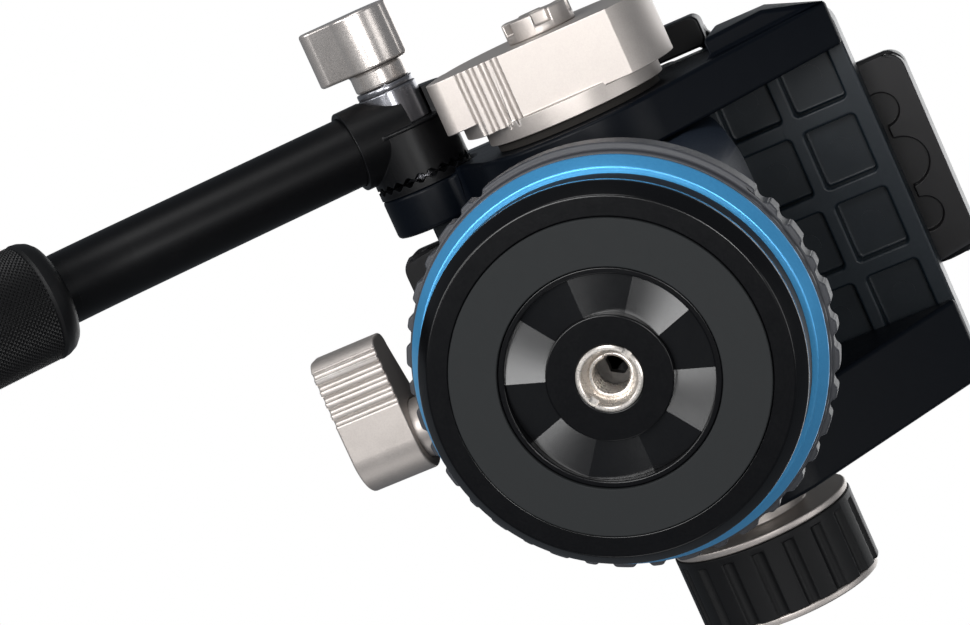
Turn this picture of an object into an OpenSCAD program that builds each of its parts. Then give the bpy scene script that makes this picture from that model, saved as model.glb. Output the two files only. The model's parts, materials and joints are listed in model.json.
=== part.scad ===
// Fluid video head with a flat base, a pan bar and a sliding camera plate.
// Origin: middle of the base's seating face. +Z up the pan axis, +Y to the lens, +X to the operator's right.

/* [Base] */
// Radius of the base plate's rim
base_r = 27.5; // [27.2:0.1:28.4]
// Height from the pad's face to the accent ring's seat
base_h = 8.7; // [8.4:0.1:9.5]
// Width of the bevel round the rim's lower edge
rim_bevel = 1.7; // [0.8:0.1:2.4]
// Height of the rim's full-width band
rim_h = 4.2; // [3.8:0.1:4.6]
// Inner radius of the friction pad
pad_r_in = 15.8; // [15.6:0.1:17]
// Distance from the friction pad's outer edge to the rim
pad_inset = 4.8; // [4:0.1:5.4]
// Thickness of the friction pad
pad_t = 1.3; // [1:0.1:1.8]
// How far the pad stands out of the rim's face
pad_proud = 0.4; // [0.2:0.1:0.6]
// Radius of the wide tripod socket in the base
socket_r = 4.76; // [4.7:0.02:4.9]
// Wall radius of the narrow tripod thread in the bushing
thread_r = 2.6; // [2.5:0.05:2.8]
// Length of the reducing bushing
bushing_l = 9; // [7:0.5:10]
// Width of the bushing's driver slot
slot_w = 1.3; // [1:0.1:1.6]
// Depth of the bushing's driver slot
slot_d = 1.1; // [0.8:0.1:1.6]
// Turn of the driver slot about the pan axis
slot_angle = 57; // [0:1:180]
// Radius of the flat hub face
hub_r = 9.05; // [8.5:0.05:9.6]
// Outer radius of the star recess
star_r = 14.8; // [14:0.1:15.2]
// Number of facets round the star
star_facets = 10; // [6:2:16]
// Height difference between the star's ridges and valleys
star_pleat = 1.5; // [0.8:0.1:2]
// Thickness of the star insert at its valleys
star_floor_t = 1.6; // [1:0.1:2]
// Width of the collar's wall at its foot
collar_t = 0.7; // [0.5:0.1:1]
// Height of the accent ring
accent_h = 2.5; // [2:0.1:3]
// How far the accent ring's lower edge stands out past the rim
accent_step = 0.4; // [0.3:0.1:1]
// How far the accent ring flares out over its height
accent_flare = 1.9; // [1.2:0.1:2.4]

/* [Pan] */
// Radius of the pan spindle
spindle_r = 8.5; // [7.5:0.1:9]
// Thickness of the spindle's flange
flange_t = 2.4; // [2:0.1:3]
// Outer radius of the pan bearings
bearing_r = 13; // [12.5:0.1:13.5]
// Width of a pan bearing
bearing_w = 4; // [3:0.1:4.5]
// Height of the upper pan bearing's lower face
upper_bearing_z = 31; // [30:0.5:32]
// Radius of the pan axis bolt's shank
axis_bolt_r = 2.5; // [2:0.1:3]
// Width across flats of the axis bolt's hex socket
socket_af = 3.4; // [3:0.1:4]
// How far the pan drag ring stands out past the accent ring
drag_ring_step = 1.3; // [1.1:0.1:1.6]
// Height of the pan drag ring
drag_ring_h = 6.2; // [5:0.1:7]
// Height of the narrow lip under the pan drag ring's grip
drag_lip_h = 1.6; // [1:0.1:2]
// Number of grip pitches round the pan drag ring
drag_pitches = 20; // [12:1:24]
// Radius of a scallop in the pan drag ring
scallop_r = 1.5; // [1:0.1:1.8]
// Number of pitches left smooth for the scale
smooth_pitches = 4; // [2:1:6]
// Wall thickness of a drag vane
vane_t = 0.8; // [0.6:0.1:1]

/* [Housing] */
// How far the drum is set in from the pan drag ring's edge
drum_inset = 3.1; // [2.9:0.1:4]
// Height of the drum
drum_h = 10.5; // [10:0.1:11]
// Width of the column
column_w = 44; // [43:0.2:44.4]
// Depth of the column
column_d = 45; // [42:0.5:46]
// Corner radius of the column
column_round = 8; // [4:0.5:9]
// Height where the column starts to narrow
column_top_z = 50; // [46:0.5:52]
// Radius of the tilt barrel
barrel_r = 19.2; // [18:0.1:19.4]
// Wall thickness of the tilt barrel
barrel_wall = 5; // [4:0.1:5.5]

/* [Pan lock] */
// Height of the pan lock's axis
pan_lock_z = 24; // [23.6:0.1:24.4]
// Radius of the pan lock's stem
pan_stem_r = 4.6; // [4:0.1:4.7]
// Length of the pan lock lever from its axis to its tip
pan_lever_l = 15.7; // [13:0.1:18]
// Width of the pan lock lever along its axis
pan_lever_w = 10.4; // [9:0.1:11.5]
// Radius of the pan lock lever's hub
pan_hub_r = 6.2; // [5.8:0.1:7]
// Length of bare stem between the boss and the lever
pan_stem_show = 3.4; // [2:0.1:5]

/* [Tilt] */
// Height of the tilt axis
tilt_z = 62; // [61:0.5:63]
// Radius of the tilt axle
axle_r = 5; // [4:0.1:5.5]
// Radius of the cheeks round the tilt axis
cheek_r = 18; // [16.5:0.1:18.4]
// Thickness of the right cheek
right_cheek_t = 7.5; // [7.4:0.1:8]
// How far the right cheek's front rib stands out
rib_t = 3.2; // [2:0.1:4]
// Thickness of the left cheek
left_cheek_t = 13.5; // [13:0.1:15]
// Side gap between the barrel and a cheek
cheek_gap = 0.5; // [0.3:0.1:0.8]
// Wall radius of the tilt bushes' seats
bush_r = 8; // [7:0.1:9]
// Radius of the tilt drag chamber
tilt_chamber_r = 13; // [12:0.1:13.4]
// Depth of the tilt drag cover
tilt_cover_t = 2.4; // [2:0.1:3]

/* [Tilt lock] */
// Radius of the tilt lock lever's hub
tilt_hub_r = 17.5; // [16:0.1:18]
// Distance of the lever's flat underside from the tilt axis
tilt_flat = 12.4; // [11:0.1:12.6]
// Radius of the thin flange on the lever's inner face
tilt_flange_r = 14.6; // [13:0.1:15]
// Length of the lever from the tilt axis to its tip
tilt_lever_l = 18.3; // [17:0.1:18.6]
// Height of the lever's arm
tilt_arm_h = 15; // [10:0.1:18]
// Width of the lever along the axle
tilt_lever_w = 10.6; // [9:0.1:12]
// Radius of the castellated cap
cap_r = 5.6; // [5.4:0.1:7]
// Number of notches in the cap
cap_notches = 5; // [4:1:6]

/* [Drag knob] */
// Radius of the tilt drag knob
knob_r = 15; // [14:0.1:15.6]
// Length of the tilt drag knob
knob_l = 14.4; // [12:0.1:18]
// Gap between the left cheek and the knob
knob_gap = 3.4; // [2.5:0.1:5]
// Number of flutes in the knob's grip
flutes = 18; // [12:1:24]
// Radius of a flute
flute_r = 1.1; // [0.6:0.1:1.4]

/* [Platform] */
// Height of the platform's underside above the tilt axis
deck_rise = 20; // [19.5:0.1:21]
// Thickness of the platform tray
tray_t = 6; // [5.6:0.1:7]
// How far the platform reaches to the front
tray_front = 40; // [38.5:0.5:41]
// How far the platform reaches to the back
tray_back = 34; // [33:0.5:36]
// Corner radius of the platform
tray_round = 4; // [2:0.5:6]
// Pocket length along the head
pocket_y = 8.8; // [7:0.1:9.4]
// Pocket width across the head
pocket_x = 10; // [8:0.1:10.8]
// Pocket depth
pocket_d = 3.4; // [2:0.1:3.6]
// Pocket spacing along the head
pocket_pitch_y = 11.1; // [10.5:0.1:11.3]
// Pocket spacing across the head
pocket_pitch_x = 12.8; // [12:0.1:13.2]
// Rib between the platform's front edge and its first pockets
front_rib = 3; // [2:0.1:3.6]

/* [Camera plate] */
// Length of the camera plate
plate_l = 90; // [85:1:95]
// How far the plate stands out of the platform's front
plate_nose = 7; // [6:0.5:9]
// Width of the plate's foot
plate_foot_w = 35; // [34:0.2:36]
// Width of the plate's flange
plate_flange_w = 35; // [34:0.2:40]
// Height of the dovetail
dovetail_h = 3.6; // [3:0.1:4.2]
// How far each dovetail side leans in
dovetail_lean = 2.5; // [1.5:0.1:3]
// Thickness of the plate's flange
plate_flange_t = 3.2; // [2.8:0.1:4]
// Thickness of the plate's pads
plate_pad_t = 1; // [0.6:0.1:1.6]
// Radius of the camera screw's thread
camera_thread_r = 3.175; // [3.1:0.005:3.25]
// Length of camera thread above the pads
camera_thread_l = 5.5; // [4:0.1:6.5]
// How far the camera screw's neck is turned down below its thread
screw_relief = 0.5; // [0.4:0.05:0.6]
// Radius of the camera screw's head
screw_head_r = 7; // [6:0.1:7.4]
// Radius of the video pin
video_pin_r = 2; // [1.5:0.1:2.3]
// Height of the video pin above the pads
video_pin_l = 3; // [2:0.1:3.2]
// Shoulder of the video pin's foot
pin_shoulder = 0.3; // [0.2:0.05:0.4]

/* [Plate clamp] */
// Travel of the clamp jaw
jaw_travel = 0.5; // [0.4:0.1:0.8]
// Length of the clamp jaw
jaw_l = 54; // [50:1:56]
// Width of the clamp jaw's top
jaw_w = 6.5; // [6:0.1:7]
// Radius of the clamp lever's cam
cam_r = 3.2; // [3:0.1:3.4]
// Offset of the cam from its pivot
cam_offset = 0.9; // [0.7:0.1:1]
// Distance of the clamp lever's pivot from the head's middle
clamp_pivot_y = 22; // [20:0.5:24]
// Length of the clamp lever's arm
clamp_arm_l = 38; // [30:0.5:40]
// Travel of the safety button
button_travel = 2.8; // [2:0.1:3]
// Radius of the safety button
button_r = 2.7; // [2.2:0.1:2.8]

/* [Pan bar] */
// Distance of the rosette behind the pan axis
rosette_y = 29; // [28.5:0.1:31]
// Height of the rosette above the tilt axis
rosette_rise = 10; // [9:0.1:11]
// Radius of the rosette
rosette_r = 8; // [7:0.1:8.4]
// Number of teeth round the rosette
rosette_teeth = 24; // [16:1:30]
// Height of a rosette tooth
tooth_h = 0.6; // [0.4:0.1:0.8]
// Radius of the rosette's clamp bolt
clamp_bolt_r = 3; // [2.5:0.1:3.2]
// Length of the fitting's wide part
fitting_l = 7.6; // [6:0.1:9]
// Length of the clamp sleeve beside the fitting
sleeve_l = 6.2; // [5:0.1:8]
// Radius of the clamp sleeve
sleeve_r = 5; // [4.4:0.1:5.4]
// Radius of the pan bar's tube
bar_r = 5.8; // [5.5:0.1:6.2]
// Wall thickness of the tube
bar_wall = 1.2; // [1:0.1:2]
// Length of the straight tube from the rosette to the bend
bar_straight = 49; // [40:1:60]
// Slope of the tube below level
bar_slope = 27; // [15:1:30]
// Turn of the tube's bend
bar_bend = 11; // [0.5:0.5:20]
// Radius of the tube's bend
bend_r = 60; // [40:1:90]
// Radius of the grip
grip_r = 9.8; // [8.5:0.1:10.5]
// Length of the grip
grip_l = 105; // [90:1:120]
// Length of the wing knob's wings along the bolt
wing_h = 9.4; // [7:0.1:12]
// Reach of the long wing
wing_long = 9.6; // [8:0.1:12]
// Reach of the short wing
wing_short = 5.8; // [5.2:0.1:8]

/* [Hidden] */
// Clearances: pressed pieces, running shafts, sliding pieces and faces that pass each other
press_gap = 0.03;
run_gap = 0.06;
slide_gap = 0.3;
face_gap = 0.4;
// A little extra length that lets cuts run past a face
cut = 0.5;
$fn = 96;

// Base stack
pad_r_out = base_r - pad_inset;
accent_r_low = base_r + accent_step;
accent_r_top = accent_r_low + accent_flare;
drag_ring_r = accent_r_top + drag_ring_step;
drag_lip_r = drag_ring_r - 1;
drum_r = drag_ring_r - drum_inset;
collar_seat_r = base_r - 1.7;
spigot_r = collar_seat_r - 1.8;
base_top_z = base_h + accent_h - 0.2;
collar_z = rim_h + 0.5;
accent_top_z = base_h + accent_h;
base_screw_r = 1.5;
base_screw_head_r = 2.6;
base_screw_head_h = 2.4;
base_screw_circle_r = (pad_r_in + pad_r_out) / 2;
star_ridge_z = pad_proud + 0.7;
star_valley_z = star_ridge_z + star_pleat;
star_top_z = star_valley_z + star_floor_t;

// Pan stack
flange_r = spigot_r - 1.5;
flange_top_z = base_top_z + flange_t;
shoulder_r = spindle_r + 1.5;
shoulder_h = 0.7;
axis_head_r = socket_r - 0.5;
axis_head_h = 3;
lower_bearing_z = flange_top_z + shoulder_h + 0.1;
drag_ring_z = accent_top_z + face_gap;
drum_z = drag_ring_z + drag_ring_h + face_gap;
skirt_r = drag_ring_r - 5.8;
skirt_wall = 2.1;
chamber_r = skirt_r - skirt_wall;
bearing_hub_r = bearing_r + 1.4;
spindle_top_z = upper_bearing_z + bearing_w + 0.2;
nut_flange_r = bearing_r - 1.5;
nut_flange_t = 2;
nut_h = 3;
cavity_top_z = spindle_top_z + nut_flange_t + nut_h + 1.8;
drum_top_z = drum_z + drum_h;

// Pan lock along -Y
pan_boss_r = pan_stem_r + 1.9;
pan_boss_y = -(drum_r + 2.4);
pan_lever_y = pan_boss_y - pan_stem_show;
shoe_r = pan_stem_r - 0.3;
shoe_gap = 0.25;
shoe_l = 8;
stem_in_y = -(spindle_r + shoe_gap + shoe_l) - 0.1;

// Tilt stack along X
half_w = column_w / 2;
right_in_x = half_w + cheek_gap;
right_out_x = right_in_x + right_cheek_t;
left_in_x = -right_in_x;
left_out_x = left_in_x - left_cheek_t;
bush_l = 4;
chamber_in_x = left_in_x - bush_l;
chamber_out_x = left_out_x + tilt_cover_t;
cover_r = tilt_chamber_r + 1;
barrel_bore_r = barrel_r - barrel_wall;
barrel_web = 4;
deck_z = tilt_z + deck_rise;
tray_top_z = deck_z + tray_t;
brake_washer_t = 1.2;
tilt_lever_x = right_out_x + brake_washer_t + 0.2;
tilt_flange_t = 2.4;
tilt_lever_out_x = tilt_lever_x + tilt_flange_t + tilt_lever_w;
cap_h = 3.4;
knob_in_x = left_out_x - knob_gap;
knob_out_x = knob_in_x - knob_l;
knob_core_r = knob_r - 2.3;
knob_rim_t = 1.2;

// Camera plate and clamp
plate_z = tray_top_z + slide_gap;
flange_z = plate_z + dovetail_h;
plate_top_z = flange_z + plate_flange_t;
pad_top_z = plate_top_z + plate_pad_t;
plate_front_y = tray_front + plate_nose;
plate_back_y = plate_front_y - plate_l;
rail_h = dovetail_h;
rail_foot_x = plate_foot_w / 2 + slide_gap + slide_gap * dovetail_lean / dovetail_h;
rail_lip_x = rail_foot_x - dovetail_lean;
jaw_back_x = rail_lip_x + jaw_w;
right_rail_x = jaw_back_x + jaw_travel + face_gap;
cam_lead = 20;
clamp_pivot_x = jaw_back_x + slide_gap + cam_r + cam_offset * cos(cam_lead);
clamp_room = cam_r + cam_offset + 2.2;
jaw_front_y = clamp_pivot_y + clamp_room + 1;
pivot_r = 1.5;
slot_half = camera_thread_r + 0.25;
slot_front_y = 22;
slot_back_y = -16;
recess_half = screw_head_r + 1;
recess_d = dovetail_h - 0.2;
catch_w = 2.8;
catch_l = 3;
catch_y = -27;
catch_x = -(plate_foot_w / 2 - 2.4);
groove_x = catch_x - slide_gap;
groove_w = catch_w + button_travel + 2 * slide_gap;
groove_d = 1.8;
groove_front_y = 0;
groove_back_y = -36;
button_stem_r = 1.8;
button_z = deck_z + 3;
button_cap_l = 3;

// Pan bar
rosette_z = tilt_z + rosette_rise;
boss_x = right_out_x - 0.8;
ring_t = 0.8;
rosette_face_x = boss_x + ring_t + 2 * tooth_h + slide_gap;
fitting_end_x = rosette_face_x + fitting_l;
sleeve_end_x = fitting_end_x + sleeve_l;
bar_x = rosette_face_x + fitting_l - 0.4;
socket_bar_r = bar_r + 0.9;
socket_bar_l = 9.6;
bar_start = sleeve_r + 1.2;
washer_t = 1;
washer_r = sleeve_r - 0.2;
wing_collar_r = sleeve_r - 0.4;
wing_collar_l = 3.2;
wing_x = sleeve_end_x + washer_t + wing_collar_l;
grip_round = 3.4;
grip_cap_t = 4;
bar_in_grip = grip_l - 6;

// Finishes
black = "#1c1d20";
dark_blue_black = "#20242c";
gunmetal = "#4a4b50";
nickel = "#cdc6c2";
steel = "#b8b8bc";
rubber_black = "#26272a";
accent_blue = "#3f8fd0";
bronze = "#a8804a";

// A ring that stands on z = 0
module ring(r_out, r_in, h) {
    difference() {
        cylinder(r = r_out, h = h);
        translate([0, 0, -cut]) cylinder(r = r_in, h = h + 2 * cut);
    }
}

// A round bar along X on the tilt axis, between two places on X
module tilt_bar(r, x0, x1) {
    translate([min(x0, x1), 0, tilt_z]) rotate([0, 90, 0]) cylinder(r = r, h = abs(x1 - x0));
}

// A round bar along X on the rosette's axis
module rosette_bar(r, x0, x1) {
    translate([x0, -rosette_y, rosette_z]) rotate([0, 90, 0]) cylinder(r = r, h = x1 - x0);
}

// A round bar along Y on the pan lock's axis
module lock_bar(r, y0, y1) {
    translate([0, max(y0, y1), pan_lock_z]) rotate([90, 0, 0]) cylinder(r = r, h = abs(y1 - y0));
}

// Draws its children's outline, given in Y and Z, between two places on X
module side_slab(x0, x1) {
    translate([min(x0, x1), 0, 0]) rotate([90, 0, 90]) linear_extrude(abs(x1 - x0)) children();
}

// Draws its children's outline, given in X and Z, between two places on Y
module front_slab(y0, y1) {
    translate([0, max(y0, y1), 0]) rotate([90, 0, 0]) linear_extrude(abs(y1 - y0)) children();
}

// A rectangle with round corners, between two corners
module round_rect(low, high, r) {
    size = high - low;
    translate(low + [r, 0]) square([size.x - 2 * r, size.y]);
    translate(low + [0, r]) square([size.x, size.y - 2 * r]);
    for (x = [low.x + r, high.x - r], y = [low.y + r, high.y - r]) translate([x, y]) circle(r);
}

// Where a line from a point touches a circle, on the side that turn (1 or -1) picks
function touch_point(centre, r, from, turn) =
    let (d = from - centre, a = atan2(d.y, d.x) + turn * acos(r / norm(d)))
    centre + r * [cos(a), sin(a)];

// Points along an arc
function arc_points(centre, r, a0, a1, steps) =
    [for (i = [0 : steps]) let (a = a0 + (a1 - a0) * i / steps) centre + r * [cos(a), sin(a)]];

// Places of the four base screws
module at_base_screws() {
    for (a = [45 : 90 : 315]) rotate([0, 0, a]) translate([base_screw_circle_r, 0, 0]) children();
}

module base_plate() {
    rim_points = [[base_r - rim_bevel, pad_proud], [base_r, pad_proud + rim_bevel * 1.4]];
    step_points = [
        [base_r, rim_h], [collar_seat_r, rim_h], [collar_seat_r, base_h],
        [spigot_r, base_h], [spigot_r, base_top_z], [socket_r, base_top_z]
    ];
    color(black) difference() {
        rotate_extrude() polygon(concat([[socket_r, pad_proud]], rim_points, step_points));
        translate([0, 0, -cut]) ring(pad_r_out + press_gap, pad_r_in - press_gap, pad_t + cut);
        translate([0, 0, -cut]) ring(star_r, hub_r, star_top_z + cut);
        at_base_screws() translate([0, 0, pad_t - cut]) {
            cylinder(r = base_screw_r + press_gap, h = base_top_z);
            cylinder(r = base_screw_head_r + press_gap, h = base_screw_head_h + cut + 0.2);
        }
    }
}

module base_pad() {
    color("#303335") ring(pad_r_out, pad_r_in, pad_t);
}

// A ring of radial pleats: ridges and valleys take turns round the ring
module pleats(r_in, r_out) {
    n = star_facets;
    step = 360 / n;
    function low_z(k) = k % 2 == 0 ? star_ridge_z : star_valley_z;
    function spot(r, k, z) = [r * cos(k * step), r * sin(k * step), z];
    rim = concat(
        [for (k = [0 : n - 1]) spot(r_in, k, low_z(k))],
        [for (k = [0 : n - 1]) spot(r_out, k, low_z(k))],
        [for (k = [0 : n - 1]) spot(r_in, k, star_top_z)],
        [for (k = [0 : n - 1]) spot(r_out, k, star_top_z)]
    );
    faces = [for (k = [0 : n - 1]) let (j = (k + 1) % n) each [
        [k, n + k, n + j], [k, n + j, j],
        [2 * n + k, 2 * n + j, 3 * n + j], [2 * n + k, 3 * n + j, 3 * n + k],
        [n + k, 3 * n + k, 3 * n + j], [n + k, 3 * n + j, n + j],
        [k, j, 2 * n + j], [k, 2 * n + j, 2 * n + k]
    ]];
    polyhedron(rim, faces);
}

module star_insert() {
    far = star_r / cos(180 / star_facets) + cut;
    color("#121315") intersection() {
        translate([0, 0, pad_proud]) ring(star_r - press_gap, hub_r + press_gap, star_top_z);
        pleats(hub_r - 1, far);
    }
}

module reducing_bushing() {
    r = socket_r - press_gap;
    color(steel) difference() {
        ring(r, thread_r, bushing_l);
        rotate([0, 0, slot_angle]) translate([-r - cut, -slot_w / 2, -cut])
            cube([2 * (r + cut), slot_w, slot_d + cut]);
    }
}

module base_collar() {
    r_in = collar_seat_r + press_gap;
    r_low = r_in + collar_t;
    r_top = accent_r_low - 0.3;
    color(gunmetal) rotate_extrude() polygon([
        [r_in, collar_z], [r_low, collar_z], [r_top, base_h - 0.8], [r_top - 0.2, base_h], [r_in, base_h]
    ]);
}

module accent_ring() {
    // A flat lower face ends in a crisp edge, where the flare starts
    edge_r = accent_r_low + accent_flare * 0.25;
    color(accent_blue) rotate_extrude() polygon([
        [spigot_r + press_gap, base_h], [edge_r, base_h], [accent_r_top, accent_top_z - 0.5],
        [accent_r_top, accent_top_z], [spigot_r + press_gap, accent_top_z]
    ]);
}

module base_screws() {
    color(steel) at_base_screws() translate([0, 0, pad_t + 0.2]) {
        cylinder(r = base_screw_head_r, h = base_screw_head_h);
        cylinder(r = base_screw_r, h = flange_top_z - pad_t - 0.4);
    }
}

module pan_spindle() {
    color(steel) difference() {
        union() {
            translate([0, 0, base_top_z]) cylinder(r = flange_r, h = flange_t);
            translate([0, 0, flange_top_z]) cylinder(r = shoulder_r, h = shoulder_h);
            translate([0, 0, base_top_z]) cylinder(r = spindle_r, h = spindle_top_z - base_top_z);
        }
        translate([0, 0, base_top_z - cut]) {
            cylinder(r = axis_bolt_r + press_gap, h = spindle_top_z);
            cylinder(r = axis_head_r + press_gap, h = axis_head_h + cut + 0.3);
        }
        at_base_screws() translate([0, 0, base_top_z - cut])
            cylinder(r = base_screw_r + press_gap, h = flange_t + 2 * cut);
    }
}

module pan_axis_bolt() {
    head_z = base_top_z + 0.3;
    color("#8d8a86") difference() {
        translate([0, 0, head_z]) {
            cylinder(r = axis_head_r, h = axis_head_h);
            cylinder(r = axis_bolt_r, h = spindle_top_z + nut_flange_t + nut_h + 0.5 - head_z);
        }
        translate([0, 0, head_z - cut]) cylinder(d = socket_af / cos(30), h = 2.2 + cut, $fn = 6);
    }
}

module spindle_nut() {
    hex_r = axis_bolt_r + 2.4;
    color(steel) translate([0, 0, spindle_top_z]) difference() {
        union() {
            cylinder(r = nut_flange_r, h = nut_flange_t);
            cylinder(r = hex_r, h = nut_flange_t + nut_h, $fn = 6);
        }
        translate([0, 0, -cut])
            cylinder(r = axis_bolt_r + press_gap, h = nut_flange_t + nut_h + 2 * cut);
    }
}

// A round plate with concentric vanes standing on it, for the grease-filled drags
module vane_plate(r_in, r_out, plate_h, vane_h, vane_radii) {
    ring(r_out, r_in, plate_h);
    for (r = vane_radii) ring(r + vane_t, r, vane_h);
}

// Radii of the fixed and the turning vanes between two radii
function vane_radii(r_in, r_out, turning) =
    let (pitch = (r_out - r_in - vane_t) / 3) [for (i = [turning ? 1 : 0 : 2 : 3]) r_in + i * pitch];

pan_vanes_in = bearing_hub_r + 0.8;
pan_vanes_out = flange_r - 0.6;
vane_plate_t = 0.8;
pan_vane_h = drum_z - flange_top_z - vane_plate_t - face_gap;

module pan_drag_rotor() {
    color(bronze) translate([0, 0, flange_top_z]) vane_plate(
        pan_vanes_in, pan_vanes_out, vane_plate_t, pan_vane_h,
        vane_radii(pan_vanes_in, pan_vanes_out, false));
}

module pan_drag_stator() {
    color(bronze) translate([0, 0, drum_z]) mirror([0, 0, 1]) vane_plate(
        bearing_hub_r + press_gap, chamber_r - press_gap, vane_plate_t, pan_vane_h,
        vane_radii(pan_vanes_in, pan_vanes_out, true));
}

module pan_drag_ring() {
    pitch = 360 / drag_pitches;
    // The smooth stretch is centred to the right of the lens
    first_a = 23 + smooth_pitches * pitch / 2;
    color(gunmetal) translate([0, 0, drag_ring_z]) difference() {
        ring(drag_ring_r, skirt_r + run_gap, drag_ring_h);
        translate([0, 0, -cut]) ring(drag_ring_r + cut, drag_lip_r, drag_lip_h + cut);
        for (i = [0 : drag_pitches - smooth_pitches - 1], side = [-0.22, 0.22])
            rotate([0, 0, first_a + (i + 0.5 + side) * pitch])
                translate([drag_ring_r + scallop_r * 0.45, 0, -cut])
                    cylinder(r = scallop_r, h = drag_ring_h + 2 * cut);
    }
}

// The column's outline from the side, with the barrel on top
module column_outline() {
    d = column_d / 2;
    axis = [0, tilt_z];
    corner = [d, column_top_z];
    polygon([
        [-d, drum_z], [d, drum_z], corner, touch_point(axis, barrel_r, corner, 1), axis,
        touch_point(axis, barrel_r, [-d, column_top_z], -1), [-d, column_top_z]
    ]);
    translate(axis) circle(barrel_r);
}

module pan_housing() {
    d = column_d / 2;
    drum_points = arc_points([drum_r - 1.5, drum_top_z - 1.5], 1.5, 0, 90, 4);
    color(dark_blue_black) difference() {
        union() {
            translate([0, 0, drag_ring_z]) cylinder(r = skirt_r, h = drum_z - drag_ring_z + cut);
            rotate_extrude() polygon(concat([[0, drum_z], [drum_r, drum_z]], drum_points, [[0, drum_top_z]]));
            intersection() {
                side_slab(-half_w, half_w) column_outline();
                translate([0, 0, drum_z]) linear_extrude(tilt_z + barrel_r)
                    round_rect([-half_w, -d], [half_w, d], column_round);
            }
            intersection() {
                lock_bar(pan_boss_r, pan_boss_y, -spindle_r - 10);
                translate([-drum_r, -2 * drum_r, drum_z]) cube(2 * drum_r);
            }
        }
        translate([0, 0, drag_ring_z - cut]) difference() {
            cylinder(r = chamber_r, h = drum_z - drag_ring_z + cut);
            translate([0, 0, lower_bearing_z - drag_ring_z + cut]) cylinder(r = bearing_hub_r, h = drum_h);
        }
        translate([0, 0, drag_ring_z - cut]) cylinder(r = bearing_r, h = cavity_top_z - drag_ring_z + cut);
        lock_bar(pan_stem_r + run_gap, pan_boss_y - cut, 0);
        tilt_bar(barrel_bore_r, -half_w + barrel_web, half_w - barrel_web);
        tilt_bar(axle_r + press_gap, -half_w - cut, half_w + cut);
    }
}

module pan_bearings() {
    color(steel) for (z = [lower_bearing_z, upper_bearing_z])
        translate([0, 0, z]) ring(bearing_r - press_gap, spindle_r + run_gap, bearing_w);
}

module pan_lock_stem() {
    color(nickel) lock_bar(pan_stem_r, stem_in_y, pan_lever_y - pan_lever_w + 1.6);
}

module pan_lock_lever() {
    tip_r = 2.4;
    tip_x = pan_lever_l - tip_r;
    low = pan_hub_r - tip_r;
    groove_r = 0.45;
    color(nickel) difference() {
        translate([0, 0, pan_lock_z]) front_slab(pan_lever_y, pan_lever_y - pan_lever_w) {
            circle(pan_hub_r);
            translate([tip_x, -low]) circle(tip_r);
            translate([tip_x, -low + 3]) circle(tip_r);
            polygon([
                [0, -pan_hub_r], [tip_x, -pan_hub_r], [pan_lever_l, -low],
                [pan_lever_l, -low + 3], [tip_x, -low + 3 + tip_r], [2, pan_hub_r - 0.3], [0, pan_hub_r]
            ]);
        }
        lock_bar(pan_stem_r + press_gap, pan_lever_y + cut, pan_lever_y - pan_lever_w + 1.6);
        for (i = [0 : 4]) translate([pan_lever_l - 1.8 - 1.9 * i, pan_lever_y + cut, pan_lock_z - pan_hub_r])
            rotate([90, 0, 0]) cylinder(r = groove_r, h = pan_lever_w + 2 * cut, $fn = 24);
    }
}

module pan_brake_shoe() {
    near_y = -(spindle_r + shoe_gap);
    color(bronze) difference() {
        lock_bar(shoe_r, near_y + 3, near_y - shoe_l);
        translate([0, 0, pan_lock_z - 10]) cylinder(r = spindle_r + shoe_gap, h = 20);
    }
}

module tilt_axle() {
    color(steel) tilt_bar(axle_r, knob_out_x + 3, tilt_lever_out_x - 0.5);
}

// A coil of round wire along X, on the tilt axis
module coil(coil_r, wire_r, length, turns) {
    sides = 6;
    rings = turns * 8;
    spots = [for (i = [0 : rings], s = [0 : sides - 1]) let (
        a = 360 * i * turns / rings,
        b = 360 * s / sides,
        r = coil_r + wire_r * cos(b)
    ) [length * (i / rings - 0.5) + wire_r * sin(b), r * cos(a), tilt_z + r * sin(a)]];
    walls = [for (i = [0 : rings - 1], s = [0 : sides - 1]) let (
        p = i * sides + s, q = i * sides + (s + 1) % sides
    ) each [[p, q, q + sides], [p, q + sides, p + sides]]];
    ends = [[for (s = [sides - 1 : -1 : 0]) s], [for (s = [0 : sides - 1]) rings * sides + s]];
    polyhedron(spots, concat(walls, ends));
}

module counterbalance_spring() {
    wire_r = 1.4;
    length = column_w - 2 * barrel_web - 2 * wire_r - 0.4;
    color(steel) coil(barrel_bore_r - wire_r - 0.4, wire_r, length, 7);
}

tilt_vanes_in = axle_r + 2;
tilt_vanes_out = tilt_chamber_r - 0.6;
tilt_vane_h = chamber_in_x - chamber_out_x - vane_plate_t - 2 * face_gap;

module tilt_drag_rotor() {
    color(bronze) translate([chamber_out_x + face_gap, 0, tilt_z]) rotate([0, 90, 0]) vane_plate(
        axle_r + press_gap, tilt_vanes_out, vane_plate_t, tilt_vane_h,
        vane_radii(tilt_vanes_in, tilt_vanes_out, false));
}

module tilt_drag_stator() {
    color(bronze) translate([chamber_in_x, 0, tilt_z]) rotate([0, -90, 0]) vane_plate(
        axle_r + 1.5, tilt_chamber_r - press_gap, vane_plate_t, tilt_vane_h,
        vane_radii(tilt_vanes_in, tilt_vanes_out, true));
}

module tilt_drag_cover() {
    color(black) difference() {
        tilt_bar(cover_r - press_gap, left_out_x, chamber_out_x);
        tilt_bar(axle_r + slide_gap, left_out_x - cut, chamber_out_x + cut);
    }
}

module tilt_bushes() {
    color(bronze) for (span = [[left_in_x - bush_l, left_in_x], [right_in_x, right_out_x]]) difference() {
        tilt_bar(bush_r - press_gap, span[0], span[1]);
        tilt_bar(axle_r + run_gap, span[0] - cut, span[1] + cut);
    }
}

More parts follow.
